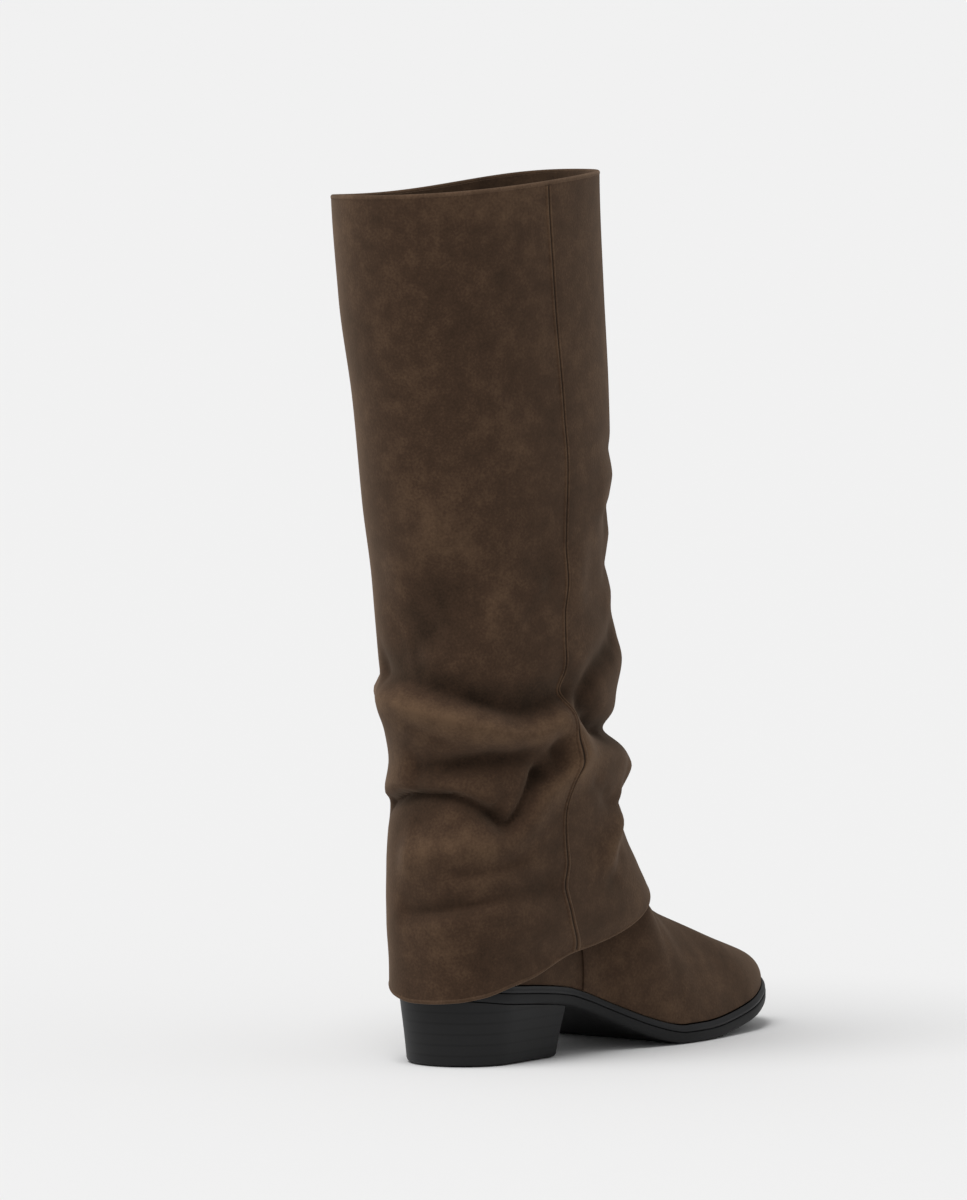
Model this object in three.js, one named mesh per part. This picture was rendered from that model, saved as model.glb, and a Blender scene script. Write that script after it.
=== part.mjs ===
// A tall slouch boot for the right foot: block heel, outsole, welt, insole, foot upper and loose shaft.
// Millimetres. X runs toward the toe, Y toward the inner side of the foot, Z up.
// The origin is the middle of the face that the heel rests on.

import * as THREE from 'three';
import { mergeVertices } from 'three/addons/utils/BufferGeometryUtils.js';

// Sole sizes
const soleLength = 267;
const soleBack = -38;
const ballWidth = 93;
const heelRise = 33;
const toeSpring = 17;
const waistRise = 6;
const outsoleThickness = 5.2;
const outsoleEdgeRound = 1.2;
const weltThickness = 3.4;
const weltMargin = 3;
const weltBevelDrop = 2;
const seatMargin = 1;

// Heel block sizes
const heelLength = 76;
const heelTaper = 3.4;
const heelCorner = 2;
const heelInset = 0.6;

// Upper sizes
const upperWall = 2;
const vampOverlay = 0.9;
const vampSeamAlong = 40;
const instepHeight = 89;
const ankleHeight = 112;
const ankleDepth = 104;
const ankleWidth = 70;
const ankleMiddle = 18;
const rimFlare = 10;
const steepRoom = 20;
const counterBulge = 1.5;
const insoleThickness = 2.5;
const insoleMargin = 4.4;

// Shaft sizes
const shaftHeight = 433;
const shaftHalfDepth = 79;
const shaftHalfWidth = 57;
const shaftWall = 1.8;
const collarDip = 12;
const collarSag = 1.8;
const foldHeight = 160;
const foldDepth = 7;
const foldWidth = 10;
const hemHeight = 53;
const hemSquareness = 0.2;
const squareBelow = 0.18;
const ovalAbove = 0.34;

// Clearance between pieces that touch
const fit = 0.3;

// How finely the surfaces are stepped
const seatSteps = 7;
const waistSteps = 18;
const toeSteps = 8;
const heelSteps = 6;
const ribLevels = 11;
const turnSteps = 60;
const shaftLevels = 27;
const levelCrowding = 1.35;
const normalReach = 3;

// Outline of the sole: share of its length, then the outer and inner half widths as shares of the
// ball width
const outlineTable = [
  { along: 0.000, outer: 0.344, inner: 0.340 },
  { along: 0.127, outer: 0.344, inner: 0.340 },
  { along: 0.217, outer: 0.338, inner: 0.323 },
  { along: 0.300, outer: 0.333, inner: 0.306 },
  { along: 0.375, outer: 0.362, inner: 0.292 },
  { along: 0.442, outer: 0.414, inner: 0.302 },
  { along: 0.517, outer: 0.466, inner: 0.355 },
  { along: 0.573, outer: 0.490, inner: 0.419 },
  { along: 0.622, outer: 0.499, inner: 0.445 },
  { along: 0.685, outer: 0.492, inner: 0.475 },
  { along: 0.742, outer: 0.473, inner: 0.478 },
  { along: 0.817, outer: 0.441, inner: 0.455 },
  { along: 0.891, outer: 0.394, inner: 0.422 },
  { along: 0.936, outer: 0.366, inner: 0.400 },
  { along: 1.000, outer: 0.323, inner: 0.355 },
];

// Underside of the sole from the back to the ball: share of the length, then height as a share of
// the heel rise
const archTable = [
  { along: 0.000, height: 1.000 },
  { along: 0.109, height: 0.910 },
  { along: 0.202, height: 0.845 },
  { along: 0.292, height: 0.755 },
  { along: 0.343, height: 0.640 },
  { along: 0.393, height: 0.485 },
  { along: 0.446, height: 0.312 },
  { along: 0.498, height: 0.160 },
  { along: 0.554, height: 0.040 },
  { along: 0.588, height: 0.000 },
  { along: 1.000, height: 0.000 },
];
const springStart = 0.655;
const springCurve = 1.6;

// Where the lift of the inner waist and the welt's margin change, as shares of the sole's length
const waistRiseStart = 0.29;
const waistRiseEnd = 0.44;
const waistFallStart = 0.46;
const waistFallEnd = 0.6;
const marginStart = 0.28;
const marginEnd = 0.42;

// Middle line over the instep down to the toe: share of the sole's length, height as a share of the
// instep height and how full the section is there
const ridgeTable = [
  { step: 0.00, along: 0.446, height: 1.820, full: 2.00 },
  { step: 0.08, along: 0.446, height: 1.600, full: 1.95 },
  { step: 0.16, along: 0.450, height: 1.370, full: 1.90 },
  { step: 0.24, along: 0.460, height: 1.140, full: 1.63 },
  { step: 0.32, along: 0.484, height: 0.960, full: 1.55 },
  { step: 0.42, along: 0.535, height: 0.810, full: 1.62 },
  { step: 0.52, along: 0.604, height: 0.690, full: 1.80 },
  { step: 0.62, along: 0.678, height: 0.585, full: 1.96 },
  { step: 0.72, along: 0.746, height: 0.508, full: 2.12 },
  { step: 0.82, along: 0.812, height: 0.452, full: 2.22 },
  { step: 0.91, along: 0.873, height: 0.402, full: 2.30 },
  { step: 1.00, along: 0.930, height: 0.342, full: 2.35 },
];

// Sections of the shaft: height as a share of the shaft's, middle and half depth as shares of its half depth,
// outer and inner half widths as shares of its half width
const shaftTable = [
  { height: 0.060, middle: 0.435, depth: 0.985, outer: 0.680, inner: 0.710 },
  { height: 0.116, middle: 0.480, depth: 1.040, outer: 0.690, inner: 0.710 },
  { height: 0.160, middle: 0.495, depth: 1.075, outer: 0.784, inner: 0.725 },
  { height: 0.208, middle: 0.430, depth: 1.004, outer: 0.762, inner: 0.732 },
  { height: 0.236, middle: 0.385, depth: 0.950, outer: 0.755, inner: 0.750 },
  { height: 0.281, middle: 0.342, depth: 0.880, outer: 0.800, inner: 0.790 },
  { height: 0.335, middle: 0.385, depth: 0.930, outer: 0.835, inner: 0.825 },
  { height: 0.372, middle: 0.315, depth: 0.885, outer: 0.845, inner: 0.825 },
  { height: 0.405, middle: 0.295, depth: 0.900, outer: 0.860, inner: 0.835 },
  { height: 0.445, middle: 0.310, depth: 0.950, outer: 0.877, inner: 0.860 },
  { height: 0.475, middle: 0.275, depth: 0.915, outer: 0.877, inner: 0.870 },
  { height: 0.516, middle: 0.222, depth: 0.876, outer: 0.877, inner: 0.877 },
  { height: 0.551, middle: 0.208, depth: 0.886, outer: 0.886, inner: 0.886 },
  { height: 0.635, middle: 0.171, depth: 0.944, outer: 0.912, inner: 0.912 },
  { height: 0.750, middle: 0.110, depth: 0.971, outer: 0.939, inner: 0.939 },
  { height: 0.867, middle: 0.011, depth: 1.000, outer: 0.974, inner: 0.974 },
  { height: 1.010, middle: -0.054, depth: 1.000, outer: 1.000, inner: 1.000 },
];

// Hem of the shaft: turn in degrees from the outer side toward the back, height as a share of the
// hem height
const hemTable = [
  { turn: -180, height: 1.000 },
  { turn: -140, height: 1.250 },
  { turn: -115, height: 1.460 },
  { turn: -90, height: 1.570 },
  { turn: -72, height: 1.530 },
  { turn: -52, height: 1.390 },
  { turn: -16, height: 1.115 },
  { turn: 2, height: 1.000 },
  { turn: 20, height: 0.815 },
  { turn: 32, height: 0.745 },
  { turn: 47, height: 0.665 },
  { turn: 67, height: 0.620 },
  { turn: 90, height: 0.605 },
  { turn: 110, height: 0.650 },
  { turn: 140, height: 0.780 },
  { turn: 180, height: 1.000 },
];

// Folds of the shaft: how far they stand out or in as a share of the fold depth, how wide they are above
// and below their line as shares of the fold width, and their line as turns round the leg and heights
// as shares of the fold height
const folds = [
  // The tuck that runs round the ankle, low at the outer side
  {
    out: 0.7, above: 0.5, below: 1.5,
    line: [[150, 1.15], [117, 1.13], [86, 1.11], [51, 1.056], [33, 1.025], [18, 1.05], [4, 1.09]],
  },
  {
    out: -0.75, above: 1.2, below: 0.5,
    line: [[120, 1.2], [86, 1.18], [51, 1.13], [31, 1.1], [10, 1.13]],
  },
  // The neck above the instep
  {
    out: -1, above: 0.7, below: 0.7,
    line: [[-4, 1.08], [-18, 1.01], [-45, 0.99], [-90, 1], [-130, 1.03]],
  },
  {
    out: -0.55, above: 1, below: 0.8,
    line: [[2, 1.12], [-14, 1.2], [-34, 1.26]],
  },
  // The second hollow and the pocket at the seam
  {
    out: -0.75, above: 0.8, below: 0.7,
    line: [[92, 0.91], [69, 0.93], [48, 0.962], [31, 0.97], [15, 0.96]],
  },
  {
    out: -0.6, above: 0.7, below: 0.7,
    line: [[12, 1], [14, 0.93], [24, 0.9]],
  },
  // The sharp tuck from the back that hangs down in a bowl
  {
    out: 0.35, above: 0.9, below: 0.4,
    line: [[150, 0.84], [132, 0.83], [104, 0.865], [69, 0.87], [50, 0.83]],
  },
  {
    out: -0.7, above: 0.4, below: 0.7,
    line: [[132, 0.8], [106, 0.83], [69, 0.84], [52, 0.8], [40, 0.75], [32, 0.8], [26, 0.9]],
  },
  // The lower ridge that climbs to the seam
  {
    out: 0.6, above: 0.8, below: 1.2,
    line: [[92, 0.66], [67, 0.69], [51, 0.7], [36, 0.73], [22, 0.84], [8, 0.92], [1, 0.97]],
  },
  // The shallow crease over the heel
  {
    out: -0.3, above: 0.6, below: 0.6,
    line: [[94, 0.48], [69, 0.495], [41, 0.52], [16, 0.545]],
  },
  // The front ridge and the tucks of the inner side
  {
    out: 0.45, above: 0.9, below: 0.9,
    line: [[-40, 0.76], [-26, 0.68], [-14, 0.6]],
  },
  {
    out: 0.6, above: 0.6, below: 1.4,
    line: [[-60, 0.86], [-95, 0.9], [-130, 0.86]],
  },
  {
    out: -0.55, above: 0.8, below: 0.6,
    line: [[-70, 0.74], [-100, 0.7], [-140, 0.74], [-180, 0.8]],
  },
  {
    out: 0.5, above: 0.7, below: 1.2,
    line: [[-110, 1.16], [-150, 1.1], [-180, 1.14], [-210, 1.15]],
  },
  // Soft hollows higher up
  {
    out: -0.35, above: 1.6, below: 1.6,
    line: [[62, 1.42], [82, 1.36], [96, 1.32]],
  },
  {
    out: 0.25, above: 1.4, below: 1.4,
    line: [[70, 1.62], [92, 1.52]],
  },
  {
    out: -0.25, above: 2, below: 2,
    line: [[-40, 1.6], [-20, 1.5]],
  },
];

const colours = {
  suede: new THREE.MeshStandardMaterial({ color: 0x4b3a2d, roughness: 0.95, metalness: 0 }),
  foot: new THREE.MeshStandardMaterial({ color: 0x523f31, roughness: 0.95, metalness: 0 }),
  rubber: new THREE.MeshStandardMaterial({ color: 0x242424, roughness: 0.6, metalness: 0 }),
  welt: new THREE.MeshStandardMaterial({ color: 0x35353a, roughness: 0.55, metalness: 0 }),
  heel: new THREE.MeshStandardMaterial({ color: 0x29292b, roughness: 0.55, metalness: 0 }),
  insole: new THREE.MeshStandardMaterial({ color: 0x8a7763, roughness: 0.9, metalness: 0 }),
};

// Reads a column of a table at a place between its rows, by cubic pieces that never overshoot them
function read(table, key, column, at) {
  const last = table.length - 1;
  if (at <= table[0][key]) return table[0][column];
  if (at >= table[last][key]) return table[last][column];
  let i = 0;
  while (table[i + 1][key] < at) i += 1;
  const slope = (j) => (table[j + 1][column] - table[j][column]) / (table[j + 1][key] - table[j][key]);
  const tangent = (j) => {
    if (j === 0 || j === last) return 0;
    const before = slope(j - 1);
    const after = slope(j);
    return before * after <= 0 ? 0 : (2 * before * after) / (before + after);
  };
  const step = table[i + 1][key] - table[i][key];
  const t = (at - table[i][key]) / step;
  const start = table[i][column] * (1 + 2 * t) * (1 - t) ** 2 + tangent(i) * step * t * (1 - t) ** 2;
  return start + table[i + 1][column] * t * t * (3 - 2 * t) + tangent(i + 1) * step * t * t * (t - 1);
}

// Rises softly from 0 to 1 as a value passes from low to high
function ramp(low, high, value) {
  const t = Math.min(Math.max((value - low) / (high - low), 0), 1);
  return t * t * (3 - 2 * t);
}

const seatRadius = 0.5 * ballWidth * (outlineTable[0].outer + outlineTable[0].inner);
const soleFront = soleBack + soleLength;
const alongOf = (x) => (x - soleBack) / soleLength;

// The waist is higher on the inner side of the foot
function waistLift(x, y) {
  const along = alongOf(x);
  const rise = ramp(waistRiseStart, waistRiseEnd, along);
  const lift = waistRise * rise * (1 - ramp(waistFallStart, waistFallEnd, along));
  const outer = ballWidth * read(outlineTable, 'along', 'outer', along);
  const inner = ballWidth * read(outlineTable, 'along', 'inner', along);
  return (lift * (y + outer)) / (outer + inner);
}

// Underside of the outsole, with the toe spring
function underside(x, y) {
  const along = alongOf(x);
  const spring = Math.max((along - springStart) / (1 - springStart), 0) ** springCurve;
  const arch = heelRise * read(archTable, 'along', 'height', along);
  return arch + toeSpring * spring + waistLift(x, y);
}

const weltFoot = (x, y) => underside(x, y) + outsoleThickness + fit;
const featherHeight = (x, y) => weltFoot(x, y) + weltThickness;

// Places along the sole, closer together round the heel seat and the toe
function stations(back, front, seat, toe) {
  const list = [];
  for (let i = 0; i < seatSteps; i += 1) {
    list.push(back + seat * (1 - Math.cos((0.5 * Math.PI * i) / seatSteps)));
  }
  for (let i = 0; i <= waistSteps; i += 1) {
    list.push(back + seat + ((front - toe - back - seat) * i) / waistSteps);
  }
  for (let i = 1; i <= toeSteps; i += 1) {
    list.push(front - toe * (1 - Math.sin((0.5 * Math.PI * i) / toeSteps)));
  }
  return list;
}

const toeRound = 0.184 * soleLength;
const toeSquareness = 2.2;

// Half width of the sole's outline on one side, drawn in by a margin
function halfWidth(x, side, margin) {
  const back = soleBack + margin;
  const front = soleFront - margin;
  const seatEnd = soleBack + seatRadius;
  const toeStart = soleFront - toeRound;
  const full = ballWidth * read(outlineTable, 'along', side, alongOf(x)) - margin;
  if (x < seatEnd) {
    const t = Math.min((seatEnd - x) / (seatEnd - back), 1);
    return full * Math.sqrt(Math.max(1 - t * t, 0));
  }
  if (x > toeStart) {
    const t = Math.min((x - toeStart) / (front - toeStart), 1);
    return full * Math.max(1 - t ** toeSquareness, 0) ** (1 / toeSquareness);
  }
  return full;
}

const soleStations = (margin) => stations(
  soleBack + margin, soleFront - margin, seatRadius - margin, toeRound - margin,
);

// Turns a list of triangles, each with three corners, into one closed mesh
function solid(name, triangles, material) {
  const geometry = new THREE.BufferGeometry();
  geometry.setAttribute('position', new THREE.Float32BufferAttribute(triangles.flat(2), 3));
  const merged = mergeVertices(geometry, 1e-4);
  const index = Array.from(merged.index.array);
  const kept = [];
  for (let i = 0; i < index.length; i += 3) {
    const [a, b, c] = index.slice(i, i + 3);
    if (a !== b && b !== c && c !== a) kept.push(a, b, c);
  }
  merged.setIndex(kept);
  merged.computeVertexNormals();
  const mesh = new THREE.Mesh(merged, material);
  mesh.name = name;
  return mesh;
}

function addQuad(triangles, a, b, c, d) {
  triangles.push([a, b, c], [a, c, d]);
}

// A layer of the sole. Each row of its edge gives a height share and how far the edge is drawn in there.
// Its faces are strips between the outer and the inner side, so they bend along the sole only.
function layer(name, places, width, low, high, edge, material) {
  const triangles = [];
  const last = places(0).length - 1;
  const rows = edge.map((row) => places(row.inset).map((x) => {
    const at = (y) => [x, y, low(x, y) + (high(x, y) - low(x, y)) * row.share];
    return {
      outer: at(-width(x, 'outer', row.inset)),
      inner: at(width(x, 'inner', row.inset)),
    };
  }));
  for (let i = 0; i < last; i += 1) {
    for (let k = 0; k + 1 < rows.length; k += 1) {
      const [a, b] = [rows[k], rows[k + 1]];
      addQuad(triangles, a[i].outer, a[i + 1].outer, b[i + 1].outer, b[i].outer);
      addQuad(triangles, a[i].inner, b[i].inner, b[i + 1].inner, a[i + 1].inner);
    }
    const [bottom, top] = [rows[0], rows[rows.length - 1]];
    addQuad(triangles, bottom[i].outer, bottom[i].inner, bottom[i + 1].inner, bottom[i + 1].outer);
    addQuad(triangles, top[i].outer, top[i + 1].outer, top[i + 1].inner, top[i].inner);
  }
  for (let k = 0; k + 1 < rows.length; k += 1) {
    const [a, b] = [rows[k], rows[k + 1]];
    addQuad(triangles, a[0].outer, b[0].outer, b[0].inner, a[0].inner);
    addQuad(triangles, a[last].outer, a[last].inner, b[last].inner, b[last].outer);
  }
  return solid(name, triangles, material);
}

function makeOutsole() {
  const edge = [
    { share: 0, inset: outsoleEdgeRound },
    { share: 0.3, inset: 0.3 * outsoleEdgeRound },
    { share: 0.6, inset: 0 },
    { share: 1, inset: 0 },
  ];
  const top = (x, y) => underside(x, y) + outsoleThickness;
  return layer('outsole', soleStations, halfWidth, underside, top, edge, colours.rubber);
}

// The margin of the welt beside the upper, slim at the heel seat and full round the forepart
function marginAt(x) {
  return seatMargin + (weltMargin - seatMargin) * ramp(marginStart, marginEnd, alongOf(x));
}

function makeWelt() {
  const bevelShare = 1 - weltBevelDrop / weltThickness;
  const edge = [
    { share: 0, inset: 2 * fit },
    { share: bevelShare, inset: fit },
    { share: 1, inset: 0.7 * weltMargin },
  ];
  const width = (x, side, inset) => {
    const drawn = inset > weltMargin / 2 ? inset * (marginAt(x) / weltMargin) : inset;
    return halfWidth(x, side, drawn);
  };
  return layer('welt', soleStations, width, weltFoot, featherHeight, edge, colours.welt);
}

// The block follows the sole's outline and is cut straight at the breast
function makeHeel() {
  const edge = [
    { share: 0, inset: heelInset + heelTaper + 0.7 * heelCorner },
    { share: heelCorner / heelRise, inset: heelInset + heelTaper },
    { share: 1, inset: heelInset },
  ];
  const front = soleBack + heelLength;
  const places = (inset) => {
    const list = [];
    const back = soleBack + inset;
    for (let i = 0; i < seatSteps; i += 1) {
      list.push(back + (seatRadius - inset) * (1 - Math.cos((0.5 * Math.PI * i) / seatSteps)));
    }
    for (let i = 0; i <= heelSteps; i += 1) {
      const start = soleBack + seatRadius;
      list.push(start + ((front - inset - start) * i) / heelSteps);
    }
    return list;
  };
  const top = (x, y) => underside(x, y) - fit;
  return layer('heel_block', places, halfWidth, () => 0, top, edge, colours.heel);
}

// Insole, lying on the welt inside the upper's wall
function makeInsole() {
  const width = (x, side, inset) => halfWidth(x, side, inset + insoleMargin + marginAt(x));
  const places = (inset) => soleStations(inset + insoleMargin + weltMargin);
  const low = (x, y) => featherHeight(x, y) + fit;
  const high = (x, y) => low(x, y) + insoleThickness;
  const edge = [
    { share: 0, inset: 0 },
    { share: 1, inset: 0 },
  ];
  return layer('insole', places, width, low, high, edge, colours.insole);
}

// Plain section of the shaft at a turn and height, without folds
function shaftSection(turn, z) {
  const share = z / shaftHeight;
  const angle = -Math.PI / 2 - THREE.MathUtils.degToRad(turn);
  const middle = shaftHalfDepth * read(shaftTable, 'height', 'middle', share);
  const depth = shaftHalfDepth * read(shaftTable, 'height', 'depth', share);
  const side = Math.sin(angle) < 0 ? 'outer' : 'inner';
  const width = shaftHalfWidth * read(shaftTable, 'height', side, share);
  const power = 1 - hemSquareness * (1 - ramp(squareBelow, ovalAbove, share));
  const round = (v) => Math.sign(v) * Math.abs(v) ** power;
  return [middle + depth * round(Math.cos(angle)), width * round(Math.sin(angle)), z];
}

const millimetresPerDegree = (Math.PI / 180) * 0.5 * (shaftHalfDepth + shaftHalfWidth);

// How far one fold moves the cloth at a turn and height
function foldAt(fold, turn, z) {
  let best = Infinity;
  let above = false;
  for (let i = 0; i + 1 < fold.line.length; i += 1) {
    const [t0, h0] = fold.line[i];
    const [t1, h1] = fold.line[i + 1];
    const middleTurn = 0.5 * (t0 + t1);
    const near = turn - 360 * Math.round((turn - middleTurn) / 360);
    const a = [t0 * millimetresPerDegree, h0 * foldHeight];
    const b = [t1 * millimetresPerDegree, h1 * foldHeight];
    const p = [near * millimetresPerDegree, z];
    const run = [b[0] - a[0], b[1] - a[1]];
    const length = run[0] ** 2 + run[1] ** 2;
    const t = Math.min(Math.max(((p[0] - a[0]) * run[0] + (p[1] - a[1]) * run[1]) / length, 0), 1);
    const off = [p[0] - a[0] - t * run[0], p[1] - a[1] - t * run[1]];
    const distance = Math.hypot(off[0], off[1]);
    if (distance < best) {
      best = distance;
      above = off[1] > 0;
    }
  }
  const width = foldWidth * (above ? fold.above : fold.below);
  return fold.out * foldDepth * Math.exp(-((best / width) ** 2));
}

const foldsAt = (turn, z) => folds.reduce((sum, fold) => sum + foldAt(fold, turn, z), 0);

// Outer face of the shaft
function shaftPoint(turn, z) {
  const [x, y] = shaftSection(turn, z);
  const before = shaftSection(turn - 1, z);
  const after = shaftSection(turn + 1, z);
  const normal = new THREE.Vector2(before[1] - after[1], after[0] - before[0]).normalize();
  const push = foldsAt(turn, z);
  return [x + normal.x * push, y + normal.y * push, z];
}

const hemAt = (turn) => hemHeight * read(hemTable, 'turn', 'height', ((turn + 540) % 360) - 180);

// The topline dips toward the inner side and sags between the seams
function collarAt(turn) {
  const angle = THREE.MathUtils.degToRad(turn);
  return shaftHeight - collarDip * (0.5 - 0.5 * Math.cos(angle)) - collarSag * Math.sin(2 * angle);
}

// Unit normal of a surface given by a function of two values, pointing away from the boot
function normalOf(surface, u, v, du, dv) {
  const place = (s, t) => new THREE.Vector3(...surface(s, t));
  const across = place(u + du, v).sub(place(u - du, v));
  const up = place(u, v + dv).sub(place(u, v - dv));
  return across.cross(up).normalize();
}

function makeShaft() {
  const triangles = [];
  const outerRows = [];
  const innerRows = [];
  for (let k = 0; k <= shaftLevels; k += 1) {
    const share = (k / shaftLevels) ** levelCrowding;
    const outer = [];
    const inner = [];
    for (let i = 0; i < turnSteps; i += 1) {
      const turn = -180 + (360 * i) / turnSteps;
      const z = hemAt(turn) + (collarAt(turn) - hemAt(turn)) * share;
      const point = shaftPoint(turn, z);
      const normal = normalOf(shaftPoint, turn, z, normalReach, normalReach).negate();
      const inside = k === 0 || k === shaftLevels ? normal.setZ(0).normalize() : normal;
      outer.push(point);
      inner.push(point.map((v, j) => v - shaftWall * inside.getComponent(j)));
    }
    outerRows.push(outer);
    innerRows.push(inner);
  }
  for (let i = 0; i < turnSteps; i += 1) {
    const j = (i + 1) % turnSteps;
    for (let k = 0; k < shaftLevels; k += 1) {
      addQuad(triangles, outerRows[k][i], outerRows[k + 1][i], outerRows[k + 1][j], outerRows[k][j]);
      addQuad(triangles, innerRows[k][i], innerRows[k][j], innerRows[k + 1][j], innerRows[k + 1][i]);
    }
    addQuad(triangles, outerRows[0][i], outerRows[0][j], innerRows[0][j], innerRows[0][i]);
    const top = shaftLevels;
    addQuad(triangles, outerRows[top][i], innerRows[top][i], innerRows[top][j], outerRows[top][j]);
  }
  return solid('shaft', triangles, colours.suede);
}

// Foot upper. A rib runs from the feather line up to the ankle rim or, in the forepart, to the ridge.
// Ribs are counted from the back round one side to the toe.
const legRibs = 13;
const footRibs = 19;
const legEnd = 0.36;
const ribReach = 0.3;
const levelReach = 0.02;

// The leg's ribs pass into those of the forepart between these
const blendStart = 0.75 * legRibs;
const blendEnd = legRibs + 0.2 * footRibs;
const leadEnd = 0.2;
const seatCrowding = 0.35;
const bulgeTop = 0.5;
const seamStep = 2;

function featherPoint(rib, side) {
  const x0 = soleBack + seatMargin + fit;
  const x1 = soleFront - weltMargin - fit;
  const sign = side === 'outer' ? -1 : 1;
  const legX = soleBack + legEnd * soleLength;
  let x;
  if (rib <= legRibs) {
    const t = rib / legRibs;
    const round = 1 - Math.cos(0.5 * Math.PI * t);
    const even = t * t * (1.5 - 0.5 * t);
    x = x0 + (legX - x0) * (seatCrowding * round + (1 - seatCrowding) * even);
  } else {
    const t = (rib - legRibs) / footRibs;
    x = legX + (x1 - legX) * Math.sin(0.5 * Math.PI * t);
  }
  const margin = x < 0 ? seatMargin + fit : marginAt(x) + fit;
  const y = sign * halfWidth(x, side, margin);
  return [x, y, featherHeight(x, y) + 2 * fit];
}

// The ankle rim sits just inside the shaft's neck
function rimPoint(rib, side) {
  const t = rib / legRibs;
  const turnBack = 90 - 180 * t;
  const turn = side === 'outer' ? turnBack : 180 - turnBack;
  const z = foldHeight;
  const [x, y] = shaftPoint(turn, z);
  const normal = normalOf(shaftPoint, turn, z, normalReach, normalReach).negate();
  const level = Math.hypot(normal.x, normal.y);
  const inward = shaftWall / level + 2 * fit + steepRoom * (1 - level);
  normal.setZ(0).normalize();
  return [x - inward * normal.x, t === 0 || t === 1 ? 0 : y - inward * normal.y, z];
}

function ridgePoint(rib) {
  const step = (rib - legRibs) / footRibs;
  const along = read(ridgeTable, 'step', 'along', step);
  const start = rimPoint(legRibs, 'outer');
  const x = soleBack + soleLength * along;
  const z = instepHeight * read(ridgeTable, 'step', 'height', step);
  const lead = 1 - ramp(0, leadEnd, step);
  return [
    x + (start[0] - soleBack - soleLength * ridgeTable[0].along) * lead,
    0,
    z + (start[2] - instepHeight * ridgeTable[0].height) * lead,
  ];
}

// Oval of the ankle inside the shaft
function anklePoint(rib, side) {
  const angle = Math.PI * (1 - Math.min(rib / legRibs, 1));
  const sign = side === 'outer' ? -1 : 1;
  return [ankleMiddle + 0.5 * ankleDepth * Math.cos(angle), sign * 0.5 * ankleWidth * Math.sin(angle)];
}

const mix = (a, b, t) => a + (b - a) * t;

// A rib of the leg: up the counter, in to the ankle and out again to the rim
function legRib(side, rib, level) {
  const foot = featherPoint(rib, side);
  const ankle = anklePoint(rib, side);
  const rim = rimPoint(Math.min(rib, legRibs), side);
  const z = mix(foot[2], rim[2], level);
  const inward = ramp(foot[2], ankleHeight, z);
  const flare = ramp(rim[2] - rimFlare, rim[2], z);
  const bulge = counterBulge * Math.sin(Math.PI * Math.min(level / bulgeTop, 1));
  const outward = new THREE.Vector2(foot[0] - ankleMiddle, foot[1]).normalize();
  return [
    mix(mix(foot[0], ankle[0], inward), rim[0], flare) + outward.x * bulge,
    mix(mix(foot[1], ankle[1], inward), rim[1], flare) + outward.y * bulge,
    z,
  ];
}

// A rib of the forepart: an arch from the feather line to the ridge
function footRib(side, rib, level) {
  const foot = featherPoint(rib, side);
  const top = ridgePoint(rib);
  const full = read(ridgeTable, 'step', 'full', Math.max(rib - legRibs, 0) / footRibs);
  const angle = 0.5 * Math.PI * level;
  const across = 1 - Math.cos(angle) ** (2 / full);
  const up = Math.sin(angle) ** (2 / full);
  return [mix(foot[0], top[0], across), mix(foot[1], top[1], across), mix(foot[2], top[2], up)];
}

function upperPoint(side, rib, level) {
  const share = ramp(blendStart, blendEnd, rib);
  const leg = legRib(side, rib, level);
  if (share === 0) return leg;
  const foot = footRib(side, rib, level);
  return leg.map((v, j) => mix(v, foot[j], share));
}

const ribs = legRibs + footRibs;

// Normal of the upper, shared by both sides where they meet on the middle line
function upperNormal(side, rib, level) {
  const onRidge = level === 1 && rib >= legRibs;
  const onMiddle = rib === 0 || rib === ribs || onRidge;
  const r = Math.min(Math.max(rib, ribReach), ribs - ribReach);
  const l = Math.min(Math.max(level, levelReach), 1 - levelReach);
  const sum = new THREE.Vector3();
  for (const each of onMiddle ? ['outer', 'inner'] : [side]) {
    const surface = (u, v) => upperPoint(each, u, v);
    const normal = normalOf(surface, r, l, ribReach, levelReach);
    sum.addScaledVector(normal, each === 'outer' ? 1 : -1);
  }
  if (onMiddle) sum.setY(0);
  if (level === 0 || (level === 1 && !onRidge)) sum.setZ(0);
  return sum.normalize();
}

// The vamp overlaps the quarters, so the wall steps out in front of its seam
function overlayAt(rib, level, x) {
  const onRim = level === 1 && rib <= legRibs;
  const front = rib > blendStart ? ramp(vampSeamAlong - seamStep, vampSeamAlong + seamStep, x) : 0;
  return onRim ? 0 : vampOverlay * front;
}

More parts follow.
